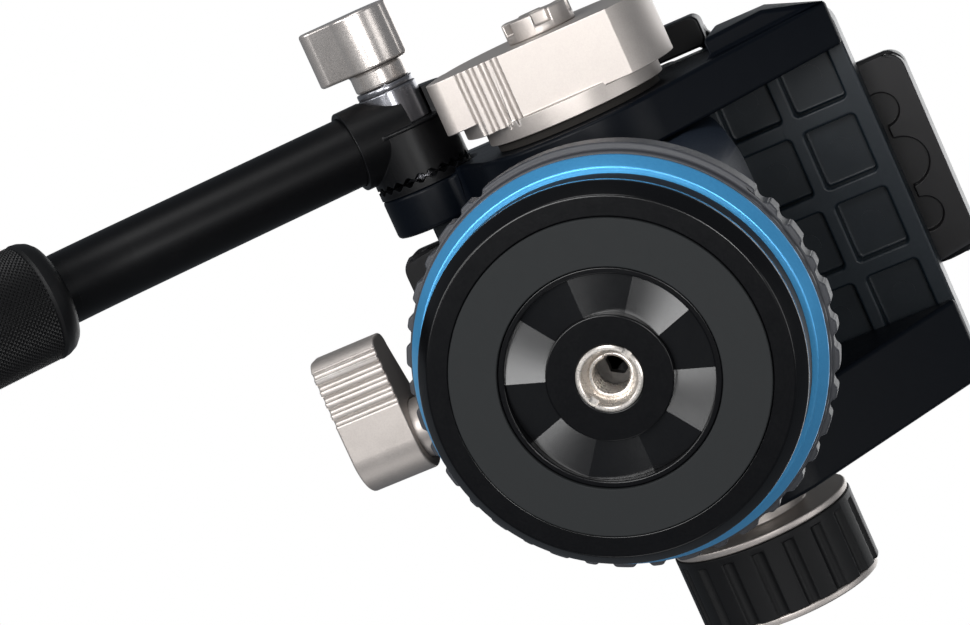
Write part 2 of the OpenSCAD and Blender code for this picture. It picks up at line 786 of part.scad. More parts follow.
// Places of a cheek's two screws on Y
cheek_screw_y = [-15, 12];
cheek_screw_r = 2;
cheek_screw_head_r = 3.4;
cheek_screw_head_h = 3;
cheek_screw_tip_z = deck_z - 8;
right_screw_x = (right_in_x + right_out_x) / 2;
left_screw_x = left_in_x - 8;

module at_cheek_screws() {
    for (x = [left_screw_x, right_screw_x], y = cheek_screw_y) translate([x, y, 0]) children();
}

// A cheek's outline from the side: a disc round the tilt axis that widens up to the platform
module cheek_outline(back, front_points) {
    axis = [0, tilt_z];
    back_low = [-back, deck_z - 1.5];
    translate(axis) circle(cheek_r);
    polygon(concat(
        [axis], front_points, [[-back, deck_z], back_low, touch_point(axis, cheek_r - 0.1, back_low, 1)]
    ));
}

// A cheek's front edge slopes straight up to the platform's front
function sloped_front() =
    let (low = [tray_front, deck_z - 1.5])
    [touch_point([0, tilt_z], cheek_r, low, -1), low, [tray_front, deck_z]];

// Screw holes that both cheeks share
module cheek_holes() {
    at_cheek_screws() translate([0, 0, cheek_screw_tip_z - 0.2])
        cylinder(r = cheek_screw_r + press_gap, h = deck_z);
}

module left_cheek() {
    edge = 1.6;
    color(dark_blue_black) difference() {
        side_slab(left_out_x, left_in_x) cheek_outline(tray_back - 6, sloped_front());
        tilt_bar(bush_r, chamber_in_x - cut, left_in_x + cut);
        tilt_bar(tilt_chamber_r, chamber_in_x, chamber_out_x - cut);
        tilt_bar(cover_r, chamber_out_x, left_out_x - cut);
        cheek_holes();
        // A flat chamfer runs up the outer front edge
        translate([left_out_x, tray_front, deck_z]) rotate([0, 0, 45])
            translate([-edge, -edge, -deck_rise]) cube([2 * edge, 2 * edge, 2 * deck_rise]);
    }
}

module right_cheek() {
    boss = [-rosette_y, rosette_z];
    rib_y = cheek_r + 4;
    color(dark_blue_black) difference() {
        union() {
            side_slab(right_in_x, right_out_x) union() {
                cheek_outline(tray_back - 4, sloped_front());
                translate(boss) circle(rosette_r);
                polygon([
                    boss + [-rosette_r * 0.9, rosette_r * 0.3], boss + [0, -rosette_r * 0.5],
                    [-cheek_r * 0.8, tilt_z], [-cheek_r * 0.6, deck_z], [-tray_back, deck_z]
                ]);
            }
            // Thick front rib that stands out past the platform's side and runs out at the front
            intersection() {
                side_slab(right_out_x - 1, right_out_x + rib_t) polygon([
                    [rib_y, tilt_z + 2], [tray_front - 0.2, deck_z - 1], [tray_front - 0.2, deck_z - 0.2],
                    [rib_y, deck_z - 0.2]
                ]);
                linear_extrude(deck_z) polygon([
                    [right_in_x, rib_y - 1], [right_out_x + rib_t - 0.1, rib_y - 1],
                    [right_out_x + rib_t - 0.1, rib_y + 9], [right_out_x - 0.3, tray_front - 0.3],
                    [right_in_x, tray_front - 0.3]
                ]);
            }
        }
        tilt_bar(bush_r, right_in_x - cut, right_out_x + cut);
        rosette_bar(rosette_r + 0.8, boss_x, right_out_x + cut);
        rosette_bar(clamp_bolt_r + run_gap, right_in_x - cut, right_out_x + cut);
        cheek_holes();
    }
}

module cheek_screws() {
    color(steel) at_cheek_screws() translate([0, 0, cheek_screw_tip_z]) {
        cylinder(r = cheek_screw_r, h = tray_top_z - cheek_screw_tip_z - 0.4);
        translate([0, 0, tray_top_z - cheek_screw_head_h - cheek_screw_tip_z - 0.2])
            cylinder(r = cheek_screw_head_r, h = cheek_screw_head_h);
    }
}

module tilt_brake_washer() {
    color("#6b5a48") difference() {
        tilt_bar(tilt_flange_r - 1, right_out_x + 0.1, right_out_x + 0.1 + brake_washer_t);
        tilt_bar(bush_r + cut, right_out_x, tilt_lever_x);
    }
}

module tilt_lock_lever() {
    body_x = tilt_lever_x + tilt_flange_t;
    arm_step = 2.2;
    corner_r = 2.5;
    groove_r = 0.6;
    groove_pitch = 2;
    color(nickel) difference() {
        union() {
            tilt_bar(tilt_flange_r, tilt_lever_x, body_x + cut);
            translate([0, 0, tilt_z]) side_slab(body_x, tilt_lever_out_x) intersection() {
                circle(tilt_hub_r);
                translate([-tilt_hub_r, -tilt_flat]) square([2 * tilt_hub_r, tilt_flat + tilt_hub_r]);
            }
            translate([0, 0, tilt_z]) side_slab(body_x + arm_step, tilt_lever_out_x)
                round_rect([-tilt_lever_l, -tilt_flat], [0, tilt_arm_h - tilt_flat], corner_r);
        }
        tilt_bar(axle_r + run_gap, tilt_lever_x - cut, tilt_lever_out_x + cut);
        for (i = [0 : 3])
            translate([body_x - cut, -tilt_lever_l + 5.8 + groove_pitch * i, tilt_z - tilt_flat])
                rotate([0, 90, 0]) cylinder(r = groove_r, h = tilt_lever_w + 2 * cut, $fn = 24);
    }
}

module tilt_lever_cap() {
    notch_w = 2.6;
    color(nickel) difference() {
        tilt_bar(cap_r, tilt_lever_out_x, tilt_lever_out_x + cap_h);
        for (i = [0 : cap_notches - 1]) translate([tilt_lever_out_x + 1.4, 0, tilt_z])
            rotate([i * 360 / cap_notches, 0, 0]) translate([0, cap_r - 2.6, -notch_w / 2])
                cube([cap_h, 4, notch_w]);
        tilt_bar(cap_r - 3.6, tilt_lever_out_x + 1.4, tilt_lever_out_x + cap_h + cut);
    }
}

module knob_core() {
    color(nickel) difference() {
        union() {
            tilt_bar(axle_r + 3, left_out_x - 0.2, knob_in_x);
            tilt_bar(knob_r - 0.2, knob_in_x, knob_in_x - knob_rim_t);
            tilt_bar(knob_core_r, knob_in_x, knob_out_x + knob_rim_t);
            tilt_bar(knob_r - 0.6, knob_out_x + knob_rim_t, knob_out_x);
        }
        tilt_bar(axle_r + run_gap, left_out_x + cut, knob_out_x + 2.6);
        tilt_bar(knob_core_r - 1, knob_out_x + knob_rim_t, knob_out_x - cut);
    }
}

module knob_grip() {
    low_x = knob_out_x + knob_rim_t;
    high_x = knob_in_x - knob_rim_t;
    color(rubber_black) difference() {
        tilt_bar(knob_r, low_x, high_x);
        tilt_bar(knob_core_r + press_gap, low_x - cut, high_x + cut);
        for (i = [0 : flutes - 1]) translate([0, 0, tilt_z]) rotate([i * 360 / flutes, 0, 0])
            translate([low_x - cut, 0, knob_r + flute_r * 0.3]) rotate([0, 90, 0])
                cylinder(r = flute_r, h = high_x - low_x - 1.2 + cut, $fn = 24);
    }
}

module knob_end_cap() {
    color(black) tilt_bar(knob_core_r - 1 - press_gap, knob_out_x + knob_rim_t, knob_out_x + 0.3);
}

// Middle of each pocket row on Y, from the front edge back to the solid stretch over the safety catch
pocket_first_y = tray_front - front_rib - pocket_y / 2;
pocket_rows = 5;

module platform_tray() {
    level_floor_t = 2.6;
    low_x = left_out_x;
    high_x = right_out_x;
    color(black) difference() {
        translate([0, 0, deck_z]) linear_extrude(tray_t)
            round_rect([low_x, -tray_back], [high_x, tray_front], tray_round);
        for (row = [0 : pocket_rows - 1], column = [-1.5 : 1.5])
            translate([column * pocket_pitch_x, pocket_first_y - row * pocket_pitch_y, deck_z - cut])
                linear_extrude(min(pocket_d, tray_t - level_floor_t) + cut)
                    round_rect([-pocket_x / 2, -pocket_y / 2], [pocket_x / 2, pocket_y / 2], 0.8);
        at_cheek_screws() {
            translate([0, 0, deck_z - cut]) cylinder(r = cheek_screw_r + press_gap, h = tray_t + 2 * cut);
            translate([0, 0, tray_top_z - cheek_screw_head_h - 0.2])
                cylinder(r = cheek_screw_head_r + press_gap, h = cheek_screw_head_h + cut + 0.2);
        }
        // Room for the safety button's stem and for the catch that stands on it
        translate([low_x - cut, catch_y, button_z]) rotate([0, 90, 0])
            cylinder(r = button_stem_r + run_gap, h = catch_x + catch_w + button_travel - low_x + 2 * cut);
        translate([groove_x, catch_y - catch_l / 2 - slide_gap, button_z - button_stem_r - slide_gap])
            cube([groove_w, catch_l + 2 * slide_gap, tray_t]);
        translate([clamp_pivot_x, clamp_pivot_y, tray_top_z - 3.8])
            cylinder(r = pivot_r + press_gap, h = tray_t);
        at_rail_screws() translate([0, 0, tray_top_z - 3.2])
            cylinder(r = rail_screw_r + press_gap, h = tray_t);
    }
}

rail_screw_r = 1.25;
rail_screw_head_r = 2.2;
left_rail_x = (left_out_x - rail_lip_x) / 2 - 1;
rail_right_screw_x = (right_rail_x + right_out_x) / 2;
rail_spots = [
    [left_rail_x, 2], [left_rail_x, 30], [rail_right_screw_x, -26], [rail_right_screw_x, -4],
    [rail_right_screw_x, tray_front - 5.5]
];

module at_rail_screws() {
    for (p = rail_spots) translate([p.x, p.y, 0]) children();
}

// Holes for the rail screws, with a sunk seat for each head
module rail_holes() {
    at_rail_screws() {
        translate([0, 0, tray_top_z - cut]) cylinder(r = rail_screw_r + press_gap, h = rail_h + 2 * cut);
        translate([0, 0, tray_top_z + rail_h - 1.4]) cylinder(r = rail_screw_head_r + press_gap, h = 2);
    }
}

// The right rail's two blocks on Y, on both sides of the clamp lever's hub
rail_spans = [
    [-tray_back + 2, clamp_pivot_y - clamp_room],
    [clamp_pivot_y + clamp_room + 1, tray_front - 2]
];
level_r = 5.4;
level_spot = [left_rail_x, -22];

module left_rail() {
    color(black) difference() {
        front_slab(-tray_back + 2, tray_front - 2) translate([0, tray_top_z]) polygon([
            [left_out_x + 0.6, 0], [-rail_foot_x, 0], [-rail_lip_x, rail_h], [left_out_x + 1.6, rail_h],
            [left_out_x + 0.6, rail_h - 1]
        ]);
        rail_holes();
        translate([level_spot.x, level_spot.y, tray_top_z + 0.6])
            cylinder(r = level_r + press_gap, h = rail_h + cut);
    }
}

module right_rail() {
    color(black) difference() {
        union() for (span = rail_spans) translate([right_rail_x, span[0], tray_top_z])
            cube([right_out_x - right_rail_x - 0.6, span[1] - span[0], rail_h]);
        rail_holes();
    }
}

module rail_screws() {
    color(steel) at_rail_screws() difference() {
        union() {
            translate([0, 0, tray_top_z - 3]) cylinder(r = rail_screw_r, h = 3 + rail_h - 0.4);
            translate([0, 0, tray_top_z + rail_h - 1.3]) cylinder(r = rail_screw_head_r, h = 1.2);
        }
        translate([0, 0, tray_top_z + rail_h - 0.9]) cylinder(r = 1.2, h = 2, $fn = 6);
    }
}

module level_cup() {
    color(nickel) translate([level_spot.x, level_spot.y, tray_top_z + 0.6]) difference() {
        cylinder(r = level_r, h = rail_h - 0.2);
        translate([0, 0, 0.8]) cylinder(r = level_r - 0.7, h = rail_h);
    }
}

module level_vial() {
    color("#b9d24a") translate([level_spot.x, level_spot.y, tray_top_z + 1.4])
        cylinder(r = level_r - 0.7 - press_gap, h = rail_h - 1.2);
}

module clamp_jaw() {
    low = 0.1;
    high = rail_h - low;
    slope = dovetail_lean / rail_h;
    color(steel) front_slab(jaw_front_y, jaw_front_y - jaw_l) translate([0, tray_top_z]) polygon([
        [rail_foot_x - slope * low, low], [jaw_back_x, low],
        [jaw_back_x, high], [rail_foot_x - slope * high, high]
    ]);
}

module clamp_lever() {
    arm_x = right_out_x + 0.5;
    arm_w = 5.3;
    arm_drop = 2.4;
    hub_h = rail_h - 2 * slide_gap;
    // The arm starts below the pivot, so that it swings clear of the tray
    arm_top_y = -2.4;
    web_x = arm_x + arm_w / 2 - clamp_pivot_x;
    // The web is set in from the cam's faces, and the arm's top from the cam's
    step = 0.2;
    color(black) translate([clamp_pivot_x, clamp_pivot_y, tray_top_z + slide_gap]) difference() {
        union() {
            rotate([0, 0, cam_lead]) translate([-cam_offset, 0, 0]) cylinder(r = cam_r, h = hub_h);
            translate([0, 0, 2 * step]) linear_extrude(hub_h - 4 * step) polygon([
                [-cam_offset, cam_r * 0.6], [web_x, arm_top_y - step],
                [web_x, arm_top_y - cam_r], [-cam_offset, -cam_r * 0.6]
            ]);
            translate([0, 0, -arm_drop]) linear_extrude(hub_h + arm_drop - step) round_rect(
                [arm_x - clamp_pivot_x, -clamp_arm_l], [arm_x + arm_w - clamp_pivot_x, arm_top_y], 1.5);
        }
        translate([0, 0, -arm_drop - cut]) cylinder(r = pivot_r + run_gap, h = hub_h + arm_drop + 2 * cut);
    }
}

module clamp_pivot() {
    color(steel) translate([clamp_pivot_x, clamp_pivot_y, tray_top_z - 3.6]) difference() {
        union() {
            cylinder(r = pivot_r, h = 3.6 + rail_h);
            translate([0, 0, 3.6 + rail_h]) cylinder(r = pivot_r + 1.6, h = 1.4);
        }
        translate([0, 0, 3.6 + rail_h + 0.5]) cylinder(r = 1.3, h = 2, $fn = 6);
    }
}

module safety_button() {
    stem_start_x = left_out_x - button_travel - 0.4;
    color("#9c2f2a") {
        translate([stem_start_x - button_cap_l, catch_y, button_z]) rotate([0, 90, 0])
            cylinder(r = button_r, h = button_cap_l);
        translate([stem_start_x, catch_y, button_z]) rotate([0, 90, 0])
            cylinder(r = button_stem_r, h = catch_x + catch_w - stem_start_x);
        translate([catch_x, catch_y - catch_l / 2, button_z])
            cube([catch_w, catch_l, plate_z + groove_d - slide_gap - button_z]);
    }
}

// The plate's outline from the front: a dovetail foot under a flange
module plate_outline() {
    foot = plate_foot_w / 2;
    wide = plate_flange_w / 2;
    edge = 0.8;
    polygon([
        [-foot, 0], [foot, 0], [foot - dovetail_lean, dovetail_h], [wide - edge, dovetail_h],
        [wide, dovetail_h + edge], [wide, dovetail_h + plate_flange_t - edge],
        [wide - edge, dovetail_h + plate_flange_t], [-wide + edge, dovetail_h + plate_flange_t],
        [-wide, dovetail_h + plate_flange_t - edge], [-wide, dovetail_h + edge], [-wide + edge, dovetail_h],
        [-foot + dovetail_lean, dovetail_h]
    ]);
}

video_pin_y = 33;
pin_bore_d = 5;

module camera_plate() {
    lobe_y = plate_front_y - 6.4;
    lobe_x = 9.2;
    half = max(plate_foot_w, plate_flange_w) / 2;
    color(black) difference() {
        translate([0, 0, plate_z]) intersection() {
            front_slab(plate_front_y, plate_back_y) plate_outline();
            linear_extrude(dovetail_h + plate_flange_t)
                round_rect([-half, plate_back_y], [half, plate_front_y], 3);
        }
        // Recess for the camera screw's head, and the slot that its shank runs in
        translate([0, 0, plate_z - cut]) linear_extrude(recess_d + cut) round_rect(
            [-recess_half, slot_back_y - recess_half], [recess_half, slot_front_y + recess_half],
            recess_half - 0.2);
        translate([0, 0, plate_z]) linear_extrude(plate_top_z) round_rect(
            [-slot_half, slot_back_y - slot_half], [slot_half, slot_front_y + slot_half], slot_half - 0.05);
        // Shallow lobed pocket under the nose
        translate([0, 0, plate_z - cut]) linear_extrude(2 + cut) {
            for (x = [-lobe_x, lobe_x]) translate([x, lobe_y]) circle(2.9);
            translate([0, lobe_y]) circle(4.2);
            translate([-lobe_x, lobe_y - 2.9]) square([2 * lobe_x, 2.9]);
        }
        // Groove of the safety catch, with an open lane beside it
        translate([groove_x, groove_back_y, plate_z - cut])
            cube([groove_w, groove_front_y - groove_back_y, groove_d + cut]);
        translate([groove_x + button_travel, plate_back_y - cut, plate_z - cut])
            cube([catch_w + 2 * slide_gap, groove_front_y - plate_back_y, groove_d + cut]);
        translate([0, video_pin_y, plate_top_z - pin_bore_d])
            cylinder(r = video_pin_r + pin_shoulder + run_gap, h = pin_bore_d + cut);
    }
}

module plate_pads() {
    color(rubber_black) translate([0, 0, plate_top_z]) linear_extrude(plate_pad_t) for (side = [-1, 1])
        mirror([side < 0 ? 1 : 0, 0]) round_rect(
            [slot_half + 2, plate_back_y + 4], [plate_flange_w / 2 - 2, plate_front_y - 4], 2);
}

screw_head_z = plate_z + 0.5;
screw_head_h = 1.9;
screw_washer_t = 0.5;
screw_neck_r = camera_thread_r - screw_relief;

module screw_washer() {
    color(bronze) translate([0, 0, plate_z + recess_d - screw_washer_t - 0.1])
        ring(screw_head_r - 0.6, screw_neck_r + run_gap, screw_washer_t);
}

module camera_screw() {
    // The thread starts just clear of the pads
    neck_l = pad_top_z + slide_gap - screw_head_z;
    color(steel) translate([0, 0, screw_head_z]) difference() {
        union() {
            cylinder(r = screw_head_r, h = screw_head_h);
            cylinder(r = screw_neck_r, h = neck_l + cut);
            translate([0, 0, neck_l]) cylinder(r = camera_thread_r, h = camera_thread_l - slide_gap);
        }
        translate([-screw_head_r - cut, -0.8, -cut]) cube([2 * screw_head_r + 2 * cut, 1.6, 1 + cut]);
    }
}

module video_pin() {
    foot_z = plate_top_z - pin_bore_d + video_pin_l + slide_gap;
    foot_h = plate_top_z + slide_gap - foot_z;
    cone_h = 0.6;
    cone_z = pad_top_z + video_pin_l - foot_z - cone_h;
    color(steel) translate([0, video_pin_y, foot_z]) {
        cylinder(r = video_pin_r + pin_shoulder, h = foot_h);
        cylinder(r = video_pin_r, h = cone_z);
        translate([0, 0, cone_z]) cylinder(r1 = video_pin_r, r2 = video_pin_r - cone_h, h = cone_h);
    }
}

// Teeth that point along +Z, in a ring
module rosette_tooth_ring(r_in, r_out) {
    half = 180 / rosette_teeth;
    width = r_out * tan(half) * 1.6;
    intersection() {
        ring(r_out, r_in, tooth_h);
        for (i = [0 : rosette_teeth - 1]) rotate([0, 0, 2 * i * half]) translate([r_out + cut, 0, 0])
            rotate([90, 0, -90]) linear_extrude(r_out - r_in + 2 * cut)
                polygon([[-width / 2, 0], [width / 2, 0], [0.1, tooth_h], [-0.1, tooth_h]]);
    }
}

module rosette_ring() {
    color(steel) translate([boss_x, -rosette_y, rosette_z]) rotate([0, 90, 0]) {
        ring(rosette_r, clamp_bolt_r + slide_gap, ring_t);
        translate([0, 0, ring_t]) rosette_tooth_ring(rosette_r - 3, rosette_r);
    }
}

// Puts its children on the tube's line: +Z runs down the tube from the rosette's axis
module on_bar() {
    translate([bar_x, -rosette_y, rosette_z]) rotate([90 + bar_slope, 0, 0]) children();
}

module pan_bar_fitting() {
    hood_r = rosette_r + 0.6;
    hood_x = sleeve_end_x - 1.6;
    color(black) difference() {
        union() {
            rosette_bar(rosette_r, rosette_face_x, fitting_end_x);
            // A half-round hood stands behind the clamp sleeve
            difference() {
                rosette_bar(hood_r, fitting_end_x - cut, hood_x);
                translate([fitting_end_x, -rosette_y - hood_r - cut, rosette_z - hood_r - cut])
                    cube([sleeve_l, 2 * (hood_r + cut), hood_r + cut]);
            }
            translate([rosette_face_x, -rosette_y, rosette_z]) rotate([0, -90, 0])
                rosette_tooth_ring(rosette_r - 3, rosette_r);
            on_bar() cylinder(r = socket_bar_r, h = socket_bar_l);
        }
        rosette_bar(clamp_bolt_r + slide_gap, rosette_face_x - 2, sleeve_end_x + cut);
        rosette_bar(sleeve_r + slide_gap, fitting_end_x, sleeve_end_x + cut);
        on_bar() translate([0, 0, bar_start]) cylinder(r = bar_r + press_gap, h = socket_bar_l);
        // The socket stays clear of the rosette beside it
        translate([rosette_face_x - tooth_h - 5, -rosette_y - 40, rosette_z - 40]) cube([5, 80, 80]);
    }
}

// The tube's whole length at one radius: a straight run, a bend and a run inside the grip.
// The run inside the grip differs by a hair's step, so that it joins the bend cleanly.
module bar_run(r, past, step) {
    on_bar() {
        translate([0, 0, bar_start - past]) cylinder(r = r, h = bar_straight - bar_start + past);
        translate([0, 0, bar_straight]) bar_bend_from_here(r);
        after_bend() translate([0, 0, -0.3]) cylinder(r = r - step, h = bar_in_grip + past + 0.3);
    }
}

// The bend's arc, turning down from +Z
module bar_bend_from_here(r) {
    translate([0, -bend_r, 0]) rotate([90, 0, 90])
        rotate_extrude(angle = bar_bend) translate([bend_r, 0]) rotate(90) circle(r);
}

// Puts its children at the end of the bend
module after_bend() {
    translate([0, -bend_r, bar_straight]) rotate([bar_bend, 0, 0]) translate([0, bend_r, 0]) children();
}

module pan_bar_tube() {
    color(black) difference() {
        bar_run(bar_r, 0, 0.02);
        bar_run(bar_r - bar_wall, cut, -0.02);
    }
}

grip_start = 2;

module pan_bar_grip() {
    mouth = arc_points([grip_r - grip_round, grip_round], grip_round, -90, 0, 6);
    color(rubber_black) on_bar() after_bend() translate([0, 0, grip_start]) rotate_extrude() polygon(concat(
        [[bar_r + press_gap, 0]], mouth,
        [[grip_r, grip_l - 1], [grip_r - 1, grip_l], [bar_r + press_gap, grip_l]]));
}

module grip_end_cap() {
    dome = arc_points([grip_r - 2.4, grip_cap_t - 2], 2, 0, 90, 5);
    color(black) on_bar() after_bend() translate([0, 0, grip_start + grip_l]) {
        rotate_extrude() polygon(concat([[0, 0], [grip_r - 0.4, 0]], dome, [[0, grip_cap_t]]));
        translate([0, 0, bar_in_grip - grip_start - grip_l + 0.2])
            cylinder(r = bar_r - 0.2, h = grip_l + grip_start - bar_in_grip);
    }
}

module clamp_bolt() {
    color(steel) rosette_bar(clamp_bolt_r, right_in_x + 1, wing_x + wing_h - 2);
}

module clamp_sleeve() {
    color(nickel) difference() {
        rosette_bar(sleeve_r, fitting_end_x, sleeve_end_x);
        rosette_bar(clamp_bolt_r + slide_gap, fitting_end_x - cut, sleeve_end_x + cut);
    }
}

module wing_washer() {
    color(steel) difference() {
        rosette_bar(washer_r, sleeve_end_x, sleeve_end_x + washer_t);
        rosette_bar(clamp_bolt_r + slide_gap, sleeve_end_x - cut, sleeve_end_x + washer_t + cut);
    }
}

module wing_knob() {
    tip_r = 2.3;
    collar_x = sleeve_end_x + washer_t + 0.1;
    color(nickel) difference() {
        union() {
            rosette_bar(wing_collar_r, collar_x, wing_x + cut);
            translate([0, -rosette_y, rosette_z]) side_slab(wing_x, wing_x + wing_h) {
                circle(wing_short - 0.6);
                for (y = [-wing_long + tip_r, wing_short - tip_r]) translate([y, 0]) circle(tip_r);
                polygon([
                    [-wing_long + tip_r, tip_r], [-1, wing_short - 0.8],
                    [-1, -wing_short + 0.8], [-wing_long + tip_r, -tip_r]
                ]);
                polygon([
                    [wing_short - tip_r, tip_r], [0, wing_short - 1],
                    [0, -wing_short + 1], [wing_short - tip_r, -tip_r]
                ]);
            }
        }
        rosette_bar(clamp_bolt_r + press_gap, collar_x - cut, wing_x + wing_h - 2);
    }
}

base_plate();
base_pad();
star_insert();
reducing_bushing();
base_collar();
accent_ring();
base_screws();
pan_spindle();
pan_axis_bolt();
spindle_nut();
pan_drag_rotor();
pan_drag_ring();
pan_housing();
pan_bearings();
pan_drag_stator();
pan_lock_stem();
pan_lock_lever();
pan_brake_shoe();
tilt_axle();
counterbalance_spring();
tilt_drag_rotor();
tilt_drag_stator();
tilt_drag_cover();
tilt_bushes();
left_cheek();
right_cheek();
cheek_screws();
tilt_brake_washer();
tilt_lock_lever();
tilt_lever_cap();
knob_core();
knob_grip();
knob_end_cap();
platform_tray();
left_rail();
right_rail();
rail_screws();
clamp_jaw();
clamp_lever();
clamp_pivot();
safety_button();
level_cup();
level_vial();
camera_plate();
plate_pads();
screw_washer();
camera_screw();
video_pin();
rosette_ring();
pan_bar_fitting();
pan_bar_tube();
pan_bar_grip();
grip_end_cap();
clamp_bolt();
clamp_sleeve();
wing_washer();
wing_knob();
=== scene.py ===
import json
import math

import bmesh
import bpy
from mathutils import Matrix, Vector
from mathutils.bvhtree import BVHTree


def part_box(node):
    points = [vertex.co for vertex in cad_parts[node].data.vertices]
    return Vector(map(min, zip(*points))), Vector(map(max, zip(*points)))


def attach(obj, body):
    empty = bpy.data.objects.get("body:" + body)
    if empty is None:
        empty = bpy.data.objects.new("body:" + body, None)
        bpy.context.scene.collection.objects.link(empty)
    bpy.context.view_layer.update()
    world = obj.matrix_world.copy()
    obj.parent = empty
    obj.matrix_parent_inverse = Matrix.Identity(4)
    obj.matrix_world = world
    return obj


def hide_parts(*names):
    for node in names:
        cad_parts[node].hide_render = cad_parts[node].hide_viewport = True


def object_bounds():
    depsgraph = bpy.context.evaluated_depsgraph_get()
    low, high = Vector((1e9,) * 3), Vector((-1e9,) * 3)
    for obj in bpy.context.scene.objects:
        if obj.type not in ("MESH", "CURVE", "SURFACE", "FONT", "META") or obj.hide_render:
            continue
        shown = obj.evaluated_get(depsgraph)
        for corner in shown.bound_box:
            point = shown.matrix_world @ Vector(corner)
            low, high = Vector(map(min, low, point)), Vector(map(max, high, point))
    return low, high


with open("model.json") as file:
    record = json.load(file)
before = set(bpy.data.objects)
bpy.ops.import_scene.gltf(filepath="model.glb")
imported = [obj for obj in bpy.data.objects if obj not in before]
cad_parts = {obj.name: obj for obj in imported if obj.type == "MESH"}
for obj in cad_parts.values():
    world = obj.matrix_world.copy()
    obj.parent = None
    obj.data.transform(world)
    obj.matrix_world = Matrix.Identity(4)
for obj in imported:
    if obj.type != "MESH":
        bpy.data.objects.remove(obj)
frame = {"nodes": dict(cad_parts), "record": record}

cad_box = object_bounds()

# Studio. The head is held by its tripod thread, as high over a pale sweep as the pan
# bar can swing down. It is seen from below, so the sweep is painted on its upper side
# only, passes all light and isn't mirrored. Soft lights stand round the camera.
scene = bpy.context.scene
MM = 0.001


def feed(node, *ordered, **named):
    sockets = list(zip(node.inputs, ordered))
    sockets += [(node.inputs[label.replace("_", " ")], value) for label, value in named.items()]
    for socket, value in sockets:
        if isinstance(value, bpy.types.NodeSocket):
            node.id_data.links.new(value, socket)
        elif value is not None:
            socket.default_value = value
    return node


def add_node(tree, kind, settings=None, *ordered, **named):
    made = tree.nodes.new(kind)
    for key, value in (settings or {}).items():
        setattr(made, key, value)
    return feed(made, *ordered, **named)


camera_right = Vector((-0.4109855, 0.8972346, 0.1614344))
camera_up = Vector((0.9030782, 0.3764758, 0.2066781))
camera_back = Vector((0.1246626, 0.2307296, -0.9649990))
camera_place = Vector((0.0708011, 0.0906400, -0.4299059))
sensor_width, focal_px, photo_width_px = 36.0, 3210.0, 970.0

lens = bpy.data.cameras.new("photo_lens")
lens.sensor_width = sensor_width
lens.lens = sensor_width * focal_px / photo_width_px
lens.clip_start = 0.01
camera = bpy.data.objects.new("photo_camera", lens)
camera_turn = Matrix((camera_right, camera_up, camera_back)).transposed()
camera.matrix_world = Matrix.Translation(camera_place) @ camera_turn.to_4x4()
scene.collection.objects.link(camera)
scene.camera = camera
scene.view_settings.view_transform = "Standard"

world = bpy.data.worlds.new("studio_white")
world.use_nodes = True
scene.world = world
sky = world.node_tree
seen_sky = feed(sky.nodes["Background"], Color=(1.0, 1.0, 1.0, 1.0))
lighting_sky = add_node(sky, "ShaderNodeBackground", Color=(0.82, 0.9, 1.0, 1.0), Strength=0.2)
sky_ray = add_node(sky, "ShaderNodeLightPath")
sky_mix = add_node(sky, "ShaderNodeMixShader", None, sky_ray.outputs["Is Camera Ray"],
                   lighting_sky.outputs[0], seen_sky.outputs[0])
feed(sky.nodes["World Output"], Surface=sky_mix.outputs[0])

head_middle = Vector((0.0, 0.0, 0.05))
for name, way, distance, size, watts in (
        ("key_light", camera_back * 0.89 - camera_right * 0.45 + camera_up * 0.05, 0.75, 0.36, 4.6),
        ("high_light", camera_back * 0.6 + camera_up * 0.9 - camera_right * 0.35, 0.8, 0.4, 1.9),
        ("fill_light", camera_back * 0.6 + camera_right * 0.95 + camera_up * 0.1, 0.8, 0.45, 1.7),
        ("side_light", camera_back * 0.45 - camera_right * 0.9 + camera_up * 0.1, 0.8, 0.4, 2.5),
        ("low_light", camera_back * 0.3 - camera_up * 0.95, 0.8, 0.4, 0.8),
        ("front_light", camera_back + camera_right * 0.06, 0.5, 0.1, 0.9),
        ("top_light", Vector((-0.2, 0.3, 1.0)), 1.0, 1.0, 6.0)):
    lamp = bpy.data.lights.new(name, "AREA")
    lamp.shape = "DISK"
    lamp.size = size
    lamp.energy = watts
    stand = bpy.data.objects.new(name, lamp)
    way = way.normalized()
    stand.location = head_middle + way * distance
    stand.rotation_euler = way.to_track_quat("Z", "Y").to_euler()
    scene.collection.objects.link(stand)


def maths(operation, first, second=None):
    made = add_node(first.id_data, "ShaderNodeMath", {"operation": operation}, first, second)
    return made.outputs[0]


def colour_mix(share, low, high):
    other_kinds = [None] * 5
    made = add_node(share.id_data, "ShaderNodeMix", {"data_type": "RGBA"},
                    share, *other_kinds, low, high)
    return made.outputs[2]


sweep_paint = bpy.data.materials.new("pale_sweep")
sweep_paint.use_nodes = True
sweep_tree = sweep_paint.node_tree
sweep_place = add_node(sweep_tree, "ShaderNodeTexCoord")
sweep_cloud = add_node(sweep_tree, "ShaderNodeTexNoise", Vector=sweep_place.outputs["Object"],
                       Scale=1.5, Detail=2.0)
sweep_tone = colour_mix(sweep_cloud.outputs["Fac"], (0.78, 0.78, 0.77, 1.0), (0.84, 0.84, 0.84, 1.0))
sweep_shader = feed(sweep_tree.nodes["Principled BSDF"], Base_Color=sweep_tone, Roughness=0.8)
sweep_clear = add_node(sweep_tree, "ShaderNodeBsdfTransparent")
sweep_side = add_node(sweep_tree, "ShaderNodeNewGeometry")
sweep_ray = add_node(sweep_tree, "ShaderNodeLightPath")
sweep_open = maths("MAXIMUM", sweep_side.outputs["Backfacing"], sweep_ray.outputs["Is Shadow Ray"])
sweep_mix = add_node(sweep_tree, "ShaderNodeMixShader", None, sweep_open,
                     sweep_shader.outputs[0], sweep_clear.outputs[0])
feed(sweep_tree.nodes["Material Output"], Surface=sweep_mix.outputs[0])

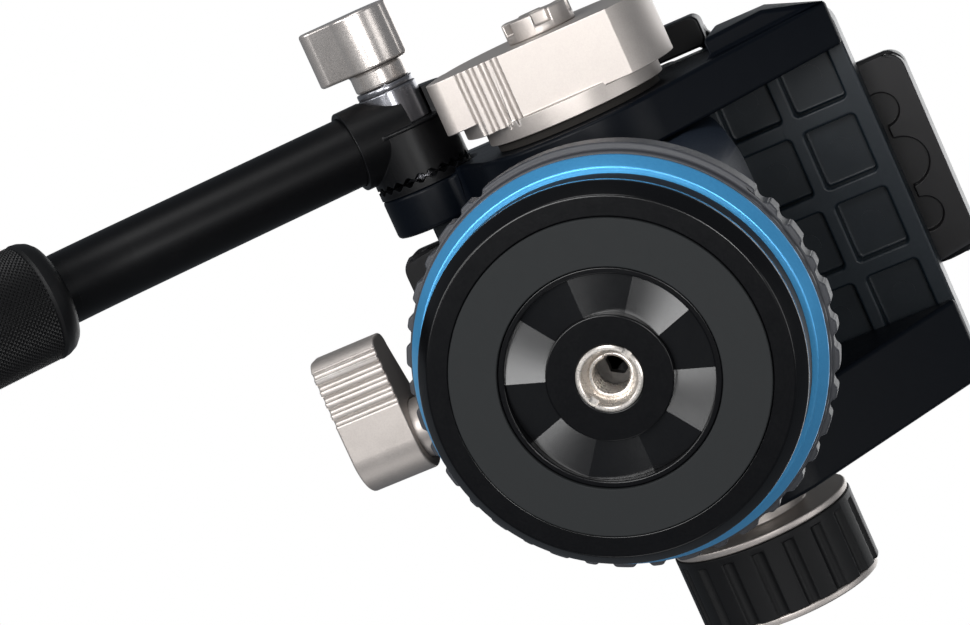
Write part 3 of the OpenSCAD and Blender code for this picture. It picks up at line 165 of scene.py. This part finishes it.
swing_room, sweep_half = 135 * MM, 4.0
sweep_z = cad_box[0].z - swing_room
sweep_corners = [(x * sweep_half, y * sweep_half, sweep_z)
                 for x, y in ((-1, -1), (1, -1), (1, 1), (-1, 1))]
sweep_mesh = bpy.data.meshes.new("pale_sweep")
sweep_mesh.from_pydata(sweep_corners, [], [(0, 1, 2, 3)])
sweep_mesh.materials.append(sweep_paint)
sweep = bpy.data.objects.new("pale_sweep", sweep_mesh)
scene.collection.objects.link(sweep)
sweep.visible_glossy = False

# Base plate. A turned aluminium disc with a bevelled rim that sits on the tripod,
# black anodised; its edges are eased by the anodiser's tumbling before the bath.
body_of_node = {}
for body, names in frame["record"]["behaviour"]["bodies"].items():
    for name in names:
        body_of_node[name] = body


def shade(code):
    parts = [int(code[i:i + 2], 16) / 255 for i in (0, 2, 4)]
    linear = [c / 12.92 if c <= 0.04045 else ((c + 0.055) / 1.055) ** 2.4 for c in parts]
    return (*linear, 1.0)


def new_group(name, inputs, outputs):
    group = bpy.data.node_groups.new(name, "ShaderNodeTree")
    for label, value in inputs.items():
        kind = "NodeSocketVector" if isinstance(value, tuple) else "NodeSocketFloat"
        socket = group.interface.new_socket(label, in_out="INPUT", socket_type=kind)
        socket.default_value = value
    for label in outputs:
        group.interface.new_socket(label, in_out="OUTPUT", socket_type="NodeSocketFloat")
    return group, group.nodes.new("NodeGroupInput").outputs, group.nodes.new("NodeGroupOutput")


def value_mix(share, low, high):
    made = add_node(high.id_data, "ShaderNodeMix", None, share, None, low, high)
    return made.outputs[0]


surface_grain, grain_in, grain_out = new_group("surface_grain", {"Scale": 2500.0}, ("Height", "Tone"))
wide_to_fine, fine_share = 0.1, 0.75
grain_place = add_node(surface_grain, "ShaderNodeTexCoord").outputs["Object"]
grain_fine = add_node(surface_grain, "ShaderNodeTexNoise", Vector=grain_place,
                      Scale=grain_in["Scale"], Detail=3.0, Roughness=0.6).outputs["Fac"]
grain_wide = add_node(surface_grain, "ShaderNodeTexNoise", Vector=grain_place,
                      Scale=maths("MULTIPLY", grain_in["Scale"], wide_to_fine),
                      Detail=2.0).outputs["Fac"]
feed(grain_out, Height=grain_fine, Tone=value_mix(fine_share, grain_wide, grain_fine))

# Edge marks: a lighter colour laid in patches on edges and creases. On the dark coated, anodised and
# moulded parts it is scuffing; on the blue ring and the nickel parts it is a painted highlight.
rubbed_edges, edge_mask_in, edge_mask_out = new_group("rubbed_edges", {"Patch Scale": 300.0}, ("Mask",))
edge_mask_shape = add_node(rubbed_edges, "ShaderNodeNewGeometry")
edge_mask_round = add_node(rubbed_edges, "ShaderNodeBevel", {"samples": 4}, Radius=0.4 * MM)
edge_mask_lean = add_node(rubbed_edges, "ShaderNodeVectorMath", {"operation": "DOT_PRODUCT"},
                       edge_mask_shape.outputs["Normal"], edge_mask_round.outputs[0])
edge_mask_sharp = add_node(rubbed_edges, "ShaderNodeMapRange", Value=edge_mask_lean.outputs["Value"],
                        From_Min=0.99, From_Max=0.88)
edge_mask_place = add_node(rubbed_edges, "ShaderNodeTexCoord")
edge_mask_patch = add_node(rubbed_edges, "ShaderNodeTexNoise", Vector=edge_mask_place.outputs["Object"],
                        Scale=edge_mask_in["Patch Scale"], Detail=4.0)
edge_mask_some = add_node(rubbed_edges, "ShaderNodeMapRange", Value=edge_mask_patch.outputs["Fac"],
                       From_Min=0.35, From_Max=0.65)
feed(edge_mask_out, Mask=maths("MULTIPLY", edge_mask_sharp.outputs[0], edge_mask_some.outputs[0]))

turned_lines, lines_in, lines_out = new_group(
    "turned_lines", {"Place": (0.0, 0.0, 0.0), "Scale": 900.0}, ("Height",))
lines_wave = add_node(turned_lines, "ShaderNodeTexWave",
                      {"wave_type": "RINGS", "rings_direction": "Z"},
                      Vector=lines_in["Place"], Scale=lines_in["Scale"], Distortion=0.4, Detail=2.0)
feed(lines_out, Height=lines_wave.outputs["Fac"])


def finish(name, deep, pale, rough, metallic=0.0, gloss=0.5, grain=2500.0, depth=0.012,
           edge_scuff_highlight=None, coat=0.0, turned=None):
    material = bpy.data.materials.new(name)
    material.use_nodes = True
    tree = material.node_tree
    speckle = add_node(tree, "ShaderNodeGroup", {"node_tree": surface_grain}, Scale=grain)
    tone, height = speckle.outputs["Tone"], speckle.outputs["Height"]
    sheen = add_node(tree, "ShaderNodeMapRange", Value=tone, From_Min=0.3, From_Max=0.7,
                     To_Min=rough[0], To_Max=rough[1])
    colour = colour_mix(tone, shade(deep), shade(pale))
    # Lighter edge colour: scuffs on some finishes, a painted highlight on others.
    if edge_scuff_highlight:
        scuff_highlight_colour, scuff_highlight_share = edge_scuff_highlight
        scuff_highlight_mask = add_node(tree, "ShaderNodeGroup", {"node_tree": rubbed_edges})
        colour = colour_mix(maths("MULTIPLY", scuff_highlight_mask.outputs["Mask"], scuff_highlight_share), colour, shade(scuff_highlight_colour))
    if turned:
        axis_turn, axis_place, lines = turned
        line_share = 0.6
        place = add_node(tree, "ShaderNodeTexCoord")
        centred = add_node(tree, "ShaderNodeMapping", Vector=place.outputs["Object"],
                           Location=axis_place, Rotation=axis_turn)
        rings = add_node(tree, "ShaderNodeGroup", {"node_tree": turned_lines},
                         Place=centred.outputs[0], Scale=lines)
        height = value_mix(line_share, height, rings.outputs["Height"])
    relief = add_node(tree, "ShaderNodeBump", Strength=0.6, Distance=depth * MM, Height=height)
    feed(tree.nodes["Principled BSDF"], Base_Color=colour, Metallic=metallic,
         Roughness=sheen.outputs[0], Specular_IOR_Level=gloss, Coat_Weight=coat,
         Coat_Roughness=0.08, Normal=relief.outputs[0])
    return material


def paint(material, *names):
    for name in names:
        mesh = frame["nodes"][name].data
        mesh.materials.clear()
        mesh.materials.append(material)


def made_plain(piece):
    bpy.context.view_layer.update()
    shown = piece.evaluated_get(bpy.context.evaluated_depsgraph_get())
    baked = bpy.data.meshes.new_from_object(shown)
    piece.modifiers.clear()
    piece.data = baked


def eased(name, width, material, segments=2):
    same_spot, flat, edge_turn = 3e-6, math.radians(0.5), math.radians(28)
    mesh = frame["nodes"][name].data.copy()
    if "custom_normal" in mesh.attributes:
        mesh.attributes.remove(mesh.attributes["custom_normal"])
    work = bmesh.new()
    work.from_mesh(mesh)
    bmesh.ops.remove_doubles(work, verts=work.verts, dist=same_spot)
    bmesh.ops.dissolve_limit(work, angle_limit=flat, verts=work.verts, edges=work.edges)
    for face in work.faces:
        face.smooth = True
    for edge in work.edges:
        edge.smooth = True
    work.to_mesh(mesh)
    skin = BVHTree.FromBMesh(work)
    work.free()
    mesh.materials.clear()
    mesh.materials.append(material)
    piece = bpy.data.objects.new("eased_" + name, mesh)
    scene.collection.objects.link(piece)
    soften = piece.modifiers.new("soften", "BEVEL")
    soften.width = width * MM
    soften.segments = segments
    soften.limit_method = "ANGLE"
    soften.angle_limit = edge_turn
    soften.use_clamp_overlap = False
    soften.loop_slide = False
    even = piece.modifiers.new("even", "WEIGHTED_NORMAL")
    even.keep_sharp = True
    made_plain(piece)
    for corner in piece.data.vertices:
        spot, _, _, off = skin.find_nearest(corner.co)
        if off > width * MM:
            corner.co = spot
    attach(piece, body_of_node[name])
    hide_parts(name)


upright = (0.0, 0.0, 0.0)
on_pan_axis = (0.0, 0.0, 0.0)
black_turned = finish("black_anodised_turned", "020203", "050506", (0.2, 0.25), gloss=0.24,
                      grain=3500.0, depth=0.0008, turned=(upright, on_pan_axis, 700.0))
eased("base_plate", 0.25, black_turned)

# Friction pad. A ring of moulded rubber pressed into the base's face, so the
# head doesn't creep on the tripod; it is matte with a fine moulded grain.
pad_rubber = finish("pad_rubber", "101213", "191B1C", (0.6, 0.75), gloss=0.2, grain=5200.0,
                    depth=0.016)
eased("base_pad", 0.2, pad_rubber)

# Star insert. A pleated anti-twist ring pressed round the hub, moulded in hard
# plastic from a polished tool, so its facets shine.
def ring_shape(name, outlines, crease, place=Matrix()):
    same_spot, no_length = 1e-7, 1e-8
    work = bmesh.new()
    rings = []
    for i, outline in enumerate(outlines):
        a = 2 * math.pi * i / len(outlines)
        rings.append([work.verts.new((r * MM * math.cos(a), r * MM * math.sin(a), z * MM))
                      for r, z in outline])
    for i, here in enumerate(rings):
        there = rings[(i + 1) % len(rings)]
        for j in range(len(here)):
            k = (j + 1) % len(here)
            if outlines[i][j][0] or outlines[i][k][0]:
                work.faces.new((here[j], there[j], there[k], here[k]))
    bmesh.ops.remove_doubles(work, verts=work.verts, dist=same_spot)
    bmesh.ops.dissolve_degenerate(work, edges=work.edges, dist=no_length)
    bmesh.ops.recalc_face_normals(work, faces=work.faces)
    work.transform(place)
    mesh = bpy.data.meshes.new(name)
    work.to_mesh(mesh)
    work.free()
    mesh.shade_smooth()
    mesh.set_sharp_from_angle(angle=math.radians(crease))
    piece = bpy.data.objects.new(name, mesh)
    scene.collection.objects.link(piece)
    return piece


star_gloss = finish("star_gloss", "040405", "070708", (0.22, 0.27), gloss=0.42, grain=4500.0,
                    depth=0.0006)
star_facets, facet_steps, pleat_crease = 10, 6, 8
star_inner, star_outer = 9.08, 14.77
star_ridge, star_valley, star_top = 1.1, 2.6, 4.2
star_outlines = []
for i in range(star_facets * facet_steps):
    along = i % (2 * facet_steps) / facet_steps
    low = star_ridge + (star_valley - star_ridge) * (along if along <= 1 else 2 - along)
    star_outlines.append([(star_inner, low), (star_outer, low),
                          (star_outer, star_top), (star_inner, star_top)])
star = ring_shape("star_pleats", star_outlines, pleat_crease)
star.data.materials.append(star_gloss)
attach(star, "base")
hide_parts("star_insert")

# Reducing bushing. A turned steel sleeve that takes the wide tripod socket down
# to the narrow screw, slotted for a driver, with a chamfered mouth and a thread.
def turned_shape(name, outline, place=Matrix(), steps=96):
    turned_crease = 30
    return ring_shape(name, [outline] * steps, turned_crease, place)


def new_tree(name, **inputs):
    tree = bpy.data.node_groups.new(name, "GeometryNodeTree")
    tree.interface.new_socket("Geometry", in_out="OUTPUT", socket_type="NodeSocketGeometry")
    kinds = {float: "NodeSocketFloat", int: "NodeSocketInt", type(None): "NodeSocketMaterial"}
    for label, value in inputs.items():
        socket = tree.interface.new_socket(label.replace("_", " "), in_out="INPUT",
                                           socket_type=kinds[type(value)])
        if value is not None:
            socket.default_value = value
    return tree, tree.nodes.new("NodeGroupInput").outputs, tree.nodes.new("NodeGroupOutput")


def close_tree(tree, sizes, end, geometry):
    solid = add_node(tree, "GeometryNodeRealizeInstances", None, geometry)
    coated = add_node(tree, "GeometryNodeSetMaterial", Geometry=solid.outputs[0],
                      Material=sizes["Material"])
    feed(end, coated.outputs[0])


def grown(name, tree, place, **values):
    piece = bpy.data.objects.new(name, bpy.data.meshes.new(name))
    scene.collection.objects.link(piece)
    maker = piece.modifiers.new("maker", "NODES")
    maker.node_group = tree
    for item in tree.interface.items_tree:
        label = item.name.replace(" ", "_")
        if item.in_out == "INPUT" and label in values:
            maker[item.identifier] = values[label]
    made_plain(piece)
    piece.data.transform(place)
    return piece


thread_ridge, ridge_in, ridge_out = new_tree(
    "thread_ridge", Radius=2.95 * MM, Turns=5.0, Length=6.3 * MM, Ridge=0.42 * MM, Material=None)
ridge_path = add_node(thread_ridge, "GeometryNodeCurveSpiral", Resolution=40,
                      Rotations=ridge_in["Turns"], Start_Radius=ridge_in["Radius"],
                      End_Radius=ridge_in["Radius"], Height=ridge_in["Length"])
ridge_upright = add_node(thread_ridge, "GeometryNodeSetCurveNormal", {"mode": "Z_UP"},
                         Curve=ridge_path.outputs[0])
ridge_section = add_node(thread_ridge, "GeometryNodeCurvePrimitiveCircle", Resolution=4,
                         Radius=ridge_in["Ridge"])
ridge_sweep = add_node(thread_ridge, "GeometryNodeCurveToMesh", Curve=ridge_upright.outputs[0],
                       Profile_Curve=ridge_section.outputs[0], Fill_Caps=True)
close_tree(thread_ridge, ridge_in, ridge_out, ridge_sweep.outputs[0])

bright_steel = finish("bright_steel", "C4BDB6", "EAE3DB", (0.24, 0.34), metallic=0.85,
                      grain=3000.0, depth=0.002, turned=(upright, on_pan_axis, 900.0))
bushing = turned_shape("bushing_sleeve", [
    (2.95, 3.2), (4.05, 0.12), (4.2, 0.0), (4.5, 0.0), (4.73, 0.2), (4.73, 9.0), (2.95, 9.0)])
slot_turn = math.radians(57)
slot_length, slot_width, slot_depth = 12 * MM, 1.3 * MM, 1.1 * MM
slot_mesh = bpy.data.meshes.new("driver_slot")
slot_work = bmesh.new()
bmesh.ops.create_cube(slot_work, size=1.0, matrix=Matrix.Rotation(slot_turn, 4, "Z")
                      @ Matrix.Diagonal((slot_length, slot_width, 2 * slot_depth, 1.0)))
slot_work.to_mesh(slot_mesh)
slot_work.free()
driver_slot = bpy.data.objects.new("driver_slot", slot_mesh)
scene.collection.objects.link(driver_slot)
slot_cut = bushing.modifiers.new("slot", "BOOLEAN")
slot_cut.object = driver_slot
slot_cut.solver = "EXACT"
made_plain(bushing)
bpy.data.objects.remove(driver_slot)
bushing.data.materials.clear()
bushing.data.materials.append(bright_steel)
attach(bushing, "base")
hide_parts("reducing_bushing")
bushing_thread_from = 2.3 * MM
bushing_thread = grown("bushing_thread", thread_ridge,
                       Matrix.Translation((0, 0, bushing_thread_from)), Material=bright_steel)
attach(bushing_thread, "base")

# Pan cartridge. The spindle, its bolt, nut, bearings and drag vanes are turned
# from steel and bronze; grease between the vanes makes the pan drag.
bronze_turned = finish("bronze_turned", "8A6434", "B38A52", (0.28, 0.4), metallic=1.0,
                       grain=2600.0, depth=0.005, turned=(upright, on_pan_axis, 800.0))
dark_steel = finish("dark_steel", "55524F", "7A7672", (0.35, 0.5), metallic=0.9, grain=2600.0,
                    depth=0.003)
paint(bright_steel, "base_screws", "pan_spindle", "spindle_nut", "pan_bearings")
paint(dark_steel, "pan_axis_bolt")
paint(bronze_turned, "pan_drag_rotor", "pan_drag_stator", "pan_brake_shoe")

# Base collar and accent ring. Two turned aluminium rings pressed on the base: a
# narrow gunmetal one, and a flared one anodised bright blue.
collar_grey = finish("collar_gunmetal", "17171A", "242528", (0.34, 0.46), metallic=0.5,
                     grain=3200.0, depth=0.005, turned=(upright, on_pan_axis, 900.0))
# The near-white laid on the blue ring's edges is a painted highlight line.
accent_blue = finish("accent_blue", "3A87BB", "4A99CA", (0.28, 0.34), metallic=0.6, grain=2400.0,
                     depth=0.005, edge_scuff_highlight=("CFE6F5", 0.85), turned=(upright, on_pan_axis, 900.0))
eased("base_collar", 0.12, collar_grey)
eased("accent_ring", 0.16, accent_blue)

# Pan drag ring. A moulded dial with pairs of finger notches and one smooth
# stretch, turned to set how stiffly the head pans.
ring_grey = finish("ring_grey", "26272B", "36373B", (0.42, 0.55), gloss=0.35, grain=3200.0,
                   depth=0.012, edge_scuff_highlight=("5A5B60", 0.25))
eased("pan_drag_ring", 0.35, ring_grey, segments=3)

# Pan housing. One casting of drum, column and tilt barrel, machined inside and
# powder coated black with a fine orange peel.
# Its colour is painted lighter than the cheeks' as painted light on the shaded drum and barrel, and
# tinted blue as a painted reflection of the pale sky.
housing_painted_lit = finish("housing_coat", "12171F", "202834", (0.36, 0.48), gloss=0.3, grain=2600.0,
                       depth=0.006, edge_scuff_highlight=("262B33", 0.3))
eased("pan_housing", 0.8, housing_painted_lit, segments=3)

# Pan lock. A cast lever with finger grooves, bead blasted and nickel plated,
# clamps the spindle through a stem and a bronze shoe.
# The near-white laid on the nickel's edges is a painted highlight.
satin_nickel = finish("satin_nickel", "9B948F", "BCB5B0", (0.42, 0.54), metallic=0.85,
                      grain=4200.0, depth=0.003, edge_scuff_highlight=("F2EEEA", 0.5))
eased("pan_lock_lever", 0.35, satin_nickel, segments=3)
paint(satin_nickel, "pan_lock_stem")

# Tilt cartridge. A turned steel axle and its coiled counterbalance spring, bronze
# drag vanes and bushes, and a black cover, held inside the barrel and left cheek.
tilt_axis_z = 62 * MM
across = (0.0, math.radians(90), 0.0)
on_tilt_axis = (-tilt_axis_z, 0.0, 0.0)
steel_across = finish("steel_across", "8E8E92", "B9B9BE", (0.3, 0.42), metallic=0.9, grain=3000.0,
                      depth=0.002, turned=(across, on_tilt_axis, 900.0))
paint(steel_across, "tilt_axle", "counterbalance_spring")
paint(bronze_turned, "tilt_drag_rotor", "tilt_drag_stator", "tilt_bushes")
black_metal = finish("black_anodised", "030304", "060607", (0.34, 0.44), gloss=0.16, grain=3200.0,
                     depth=0.0012, edge_scuff_highlight=("2A2D31", 0.3))
paint(black_metal, "tilt_drag_cover")

# Tilt yoke. Two cast cheeks screwed up under the platform carry it on the axle,
# powder coated black; the right one holds the rosette.
# Their colour is painted a deeper black than the housing's, a painted shade on faces turned from the
# light, and tinted blue as a painted reflection of the sky.
cheeks_painted_shade = finish("cheek_coat", "020408", "05080E", (0.32, 0.44), gloss=0.09, grain=2600.0,
                     depth=0.006, edge_scuff_highlight=("262B33", 0.3))
eased("left_cheek", 0.7, cheeks_painted_shade, segments=3)
eased("right_cheek", 0.7, cheeks_painted_shade, segments=3)
paint(bright_steel, "cheek_screws")

# Tilt lock. A plated lever on the right end of the axle, with a flanged hub and
# finger grooves, presses a fibre washer on the cheek; a notched cap keeps it.
brake_fibre = finish("brake_fibre", "161514", "24211E", (0.75, 0.9), gloss=0.2, grain=2000.0,
                     depth=0.03)
paint(brake_fibre, "tilt_brake_washer")
eased("tilt_lock_lever", 0.14, satin_nickel)
eased("tilt_lever_cap", 0.3, satin_nickel)

# Tilt drag knob. A plated core with two bright rims, a fluted rubber grip
# stretched over it, and a black cap pressed in its end.
grip_rubber = finish("moulded_rubber", "050506", "0A0A0B", (0.45, 0.6), gloss=0.2, grain=4200.0,
                     depth=0.008)
eased("knob_core", 0.3, satin_nickel)
eased("knob_grip", 0.2, grip_rubber)
eased("knob_end_cap", 0.3, black_metal)

# Platform. A cast tray, coated black, with pockets in its underside to save weight;
# round marks in the pockets are left by the ejector pins of the casting tool.
# The tray's colour is painted lighter than the cheeks', a painted light on the pockets that face the
# lamps, and tinted blue as a painted reflection of the sky.
tray_painted_lit = finish("tray_coat", "0C1115", "151C22", (0.3, 0.42), gloss=0.22, grain=2600.0,
                    depth=0.006, edge_scuff_highlight=("2C3238", 0.3))
eased("platform_tray", 0.45, tray_painted_lit, segments=3)
pocket_rows, pocket_pitch_y = 5, 11.1 * MM
front_pocket_y, pocket_roof_z = 32.6 * MM, 85.4 * MM
pin_marks, marks_in, marks_out = new_tree(
    "pin_marks", Columns=4, Rows=pocket_rows, Pitch_X=12.8 * MM, Pitch_Y=pocket_pitch_y,
    Radius=1.9 * MM, Height=0.16 * MM, Material=None)


def marks_span(count, pitch):
    return maths("MULTIPLY", maths("SUBTRACT", marks_in[count], 1.0), marks_in[pitch])


marks_grid = add_node(pin_marks, "GeometryNodeMeshGrid", Size_X=marks_span("Columns", "Pitch X"),
                      Size_Y=marks_span("Rows", "Pitch Y"), Vertices_X=marks_in["Columns"],
                      Vertices_Y=marks_in["Rows"])
marks_disc = add_node(pin_marks, "GeometryNodeMeshCylinder", Vertices=24,
                      Radius=marks_in["Radius"], Depth=marks_in["Height"])
marks_set = add_node(pin_marks, "GeometryNodeInstanceOnPoints", Points=marks_grid.outputs["Mesh"],
                     Instance=marks_disc.outputs["Mesh"])
close_tree(pin_marks, marks_in, marks_out, marks_set.outputs[0])
middle_pocket_y = front_pocket_y - (pocket_rows - 1) / 2 * pocket_pitch_y
ejector_marks = grown("ejector_marks", pin_marks,
                      Matrix.Translation((0, middle_pocket_y, pocket_roof_z)), Material=tray_painted_lit)
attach(ejector_marks, "tilt")

# Plate clamp. Two black anodised rails screwed on the tray hold the plate's dovetail.
# A steel jaw is pushed by the cam of a side lever, and a sprung red button stops the
# plate.
eased("left_rail", 0.3, black_metal)
eased("right_rail", 0.3, black_metal)
paint(bright_steel, "rail_screws", "clamp_pivot")
eased("clamp_jaw", 0.3, dark_steel)
eased("clamp_lever", 0.45, black_metal)
button_red = finish("button_red", "7A211D", "9C322C", (0.3, 0.42), grain=1800.0, depth=0.006,
                    coat=0.3)
eased("safety_button", 0.3, button_red)

# Spirit level. A plated cup with a tinted vial set in it, a bubble under its
# window and a black ring to centre the bubble in.
paint(satin_nickel, "level_cup")
vial_low, vial_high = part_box("level_vial")
vial_middle = (vial_low + vial_high) / 2
vial_glass = finish("vial_glass", "A9C23E", "C6DB5E", (0.03, 0.06), grain=400.0, depth=0.001)
feed(vial_glass.node_tree.nodes["Principled BSDF"], Transmission_Weight=0.85)
paint(vial_glass, "level_vial")
bubble_clear = finish("bubble_clear", "E9F2C4", "F6FBE0", (0.05, 0.1), grain=600.0, depth=0.001)
bubble_place = Matrix.Translation((vial_middle.x, vial_middle.y, vial_high.z))
bubble = turned_shape("level_bubble", [
    (0.0, -0.2), (1.1, -0.16), (1.5, -0.02), (1.3, 0.1), (0.0, 0.16)], bubble_place, steps=32)
bubble.data.materials.append(bubble_clear)
centre_ring = turned_shape("level_ring", [
    (2.0, -0.1), (2.35, -0.1), (2.35, 0.06), (2.0, 0.06)], bubble_place, steps=48)
centre_ring.data.materials.append(black_metal)
for piece in (bubble, centre_ring):
    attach(piece, "tilt")

# Camera plate. An extruded plate with a slot for its screw and rubber strips on
# top, black anodised; the screw slides on a bronze washer and the pin is sprung.
plate_black = finish("plate_anodised", "0B0A0B", "151415", (0.34, 0.44), gloss=0.2, grain=3200.0,
                     depth=0.0012, edge_scuff_highlight=("34353A", 0.3))
eased("camera_plate", 0.25, plate_black)
eased("plate_pads", 0.25, grip_rubber)
paint(bronze_turned, "screw_washer")
paint(bright_steel, "video_pin")
screw_core = turned_shape("screw_core", [
    (0.0, 88.8), (6.6, 88.8), (7.0, 89.2), (7.0, 90.3), (6.6, 90.7), (2.66, 90.7), (2.66, 101.0),
    (2.1, 101.6), (0.0, 101.6)])
screw_core.data.materials.append(bright_steel)
screw_thread_from = 96.9 * MM
screw_thread = grown("screw_thread", thread_ridge, Matrix.Translation((0, 0, screw_thread_from)),
                     Radius=2.62 * MM, Turns=3.0, Length=3.8 * MM, Ridge=0.52 * MM,
                     Material=bright_steel)
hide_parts("camera_screw")
for piece in (screw_core, screw_thread):
    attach(piece, "camera_screw")

# Pan bar. A toothed fitting on the yoke's rosette takes a bent black tube with a
# diamond-knurled rubber grip pushed on it and a moulded cap in the grip's end.
paint(black_metal, "rosette_ring")
eased("pan_bar_fitting", 0.14, black_metal)
paint(black_metal, "pan_bar_tube")
bar_x, rosette_y, rosette_z = 38.7 * MM, -29 * MM, 72 * MM
bar_lean, bar_bend = math.radians(117), math.radians(11)
bend_radius, bend_from, grip_from = 60 * MM, 49 * MM, 2 * MM
bar_place = (Matrix.Translation((bar_x, rosette_y, rosette_z)) @ Matrix.Rotation(bar_lean, 4, "X")
             @ Matrix.Translation((0, -bend_radius, bend_from)) @ Matrix.Rotation(bar_bend, 4, "X")
             @ Matrix.Translation((0, bend_radius, grip_from)))
grip_sleeve = turned_shape("grip_sleeve", [
    (5.83, 0.0), (7.6, 0.0), (8.4, 0.35), (9.1, 1.1), (9.55, 2.2), (9.7, 3.2), (9.35, 3.6),
    (9.35, 101.6), (9.7, 102.0), (9.8, 102.4), (9.8, 104.2), (9.0, 105.0), (5.83, 105.0)],
    bar_place)
grip_sleeve.data.materials.append(grip_rubber)
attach(grip_sleeve, "pan_bar")
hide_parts("pan_bar_grip")
diamond_knurl, knurl_in, knurl_out = new_tree(
    "diamond_knurl", Radius=9.3 * MM, Around=72, Along=243, Row_Pitch=0.4 * MM, Size=0.4 * MM,
    Height=0.36 * MM, Material=None)
knurl_index = add_node(diamond_knurl, "GeometryNodeInputIndex").outputs[0]
knurl_row = maths("FLOOR", maths("DIVIDE", knurl_index, knurl_in["Around"]))
half_step = maths("MULTIPLY", maths("MODULO", knurl_row, 2.0), 0.5)
knurl_steps = maths("ADD", knurl_index, half_step)
knurl_turn = maths("MULTIPLY", maths("DIVIDE", knurl_steps, knurl_in["Around"]), 2 * math.pi)
knurl_way = add_node(diamond_knurl, "ShaderNodeCombineXYZ", X=maths("COSINE", knurl_turn),
                     Y=maths("SINE", knurl_turn)).outputs[0]
knurl_up = add_node(diamond_knurl, "ShaderNodeCombineXYZ",
                    Z=maths("MULTIPLY", knurl_row, knurl_in["Row Pitch"])).outputs[0]
knurl_off_axis = add_node(diamond_knurl, "ShaderNodeVectorMath", {"operation": "SCALE"},
                          knurl_way, Scale=knurl_in["Radius"]).outputs[0]
knurl_spot = add_node(diamond_knurl, "ShaderNodeVectorMath", {"operation": "ADD"},
                      knurl_off_axis, knurl_up)
knurl_points = add_node(diamond_knurl, "GeometryNodePoints", Position=knurl_spot.outputs[0],
                        Count=maths("MULTIPLY", knurl_in["Around"], knurl_in["Along"]))
knurl_face_out = add_node(diamond_knurl, "FunctionNodeAlignRotationToVector", {"axis": "Z"},
                          Vector=knurl_way)
knurl_point_along = add_node(diamond_knurl, "FunctionNodeAlignRotationToVector",
                             {"axis": "X", "pivot_axis": "Z"}, Vector=(0.0, 0.0, 1.0),
                             Rotation=knurl_face_out.outputs[0])
knurl_peak = add_node(diamond_knurl, "GeometryNodeMeshCone", {"fill_type": "NGON"}, Vertices=4,
                      Radius_Top=0.0, Radius_Bottom=knurl_in["Size"], Depth=knurl_in["Height"])
knurl_set = add_node(diamond_knurl, "GeometryNodeInstanceOnPoints", Points=knurl_points.outputs[0],
                     Instance=knurl_peak.outputs["Mesh"], Rotation=knurl_point_along.outputs[0])
close_tree(diamond_knurl, knurl_in, knurl_out, knurl_set.outputs[0])
knurl_from = 4.0 * MM
grip_knurl = grown("grip_knurl", diamond_knurl,
                   bar_place @ Matrix.Translation((0, 0, knurl_from)), Material=grip_rubber)
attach(grip_knurl, "pan_bar")
cap_gloss = finish("cap_gloss", "0B0C0D", "151618", (0.2, 0.3), grain=1600.0, depth=0.004, coat=0.3)
eased("grip_end_cap", 0.3, cap_gloss)

# Wing clamp. A steel bolt through the rosette carries a plated sleeve, a washer
# and the cast, nickel-plated wing knob that locks the pan bar.
on_rosette_axis = (-rosette_z, -rosette_y, 0.0)
steel_at_rosette = finish("steel_at_rosette", "6E6E72", "8E8E93", (0.18, 0.28), metallic=0.9,
                          grain=3000.0, depth=0.002, turned=(across, on_rosette_axis, 900.0))
paint(steel_at_rosette, "clamp_bolt")
eased("clamp_sleeve", 0.25, steel_at_rosette)
eased("wing_washer", 0.2, steel_at_rosette)
# The near-white laid on the knob's edges is a painted highlight.
wing_nickel = finish("wing_nickel", "B4ADA8", "D4CDC8", (0.24, 0.32), metallic=0.85, grain=4200.0,
                     depth=0.0006, edge_scuff_highlight=("F2EEEA", 0.5))
eased("wing_knob", 0.5, wing_nickel, segments=3)
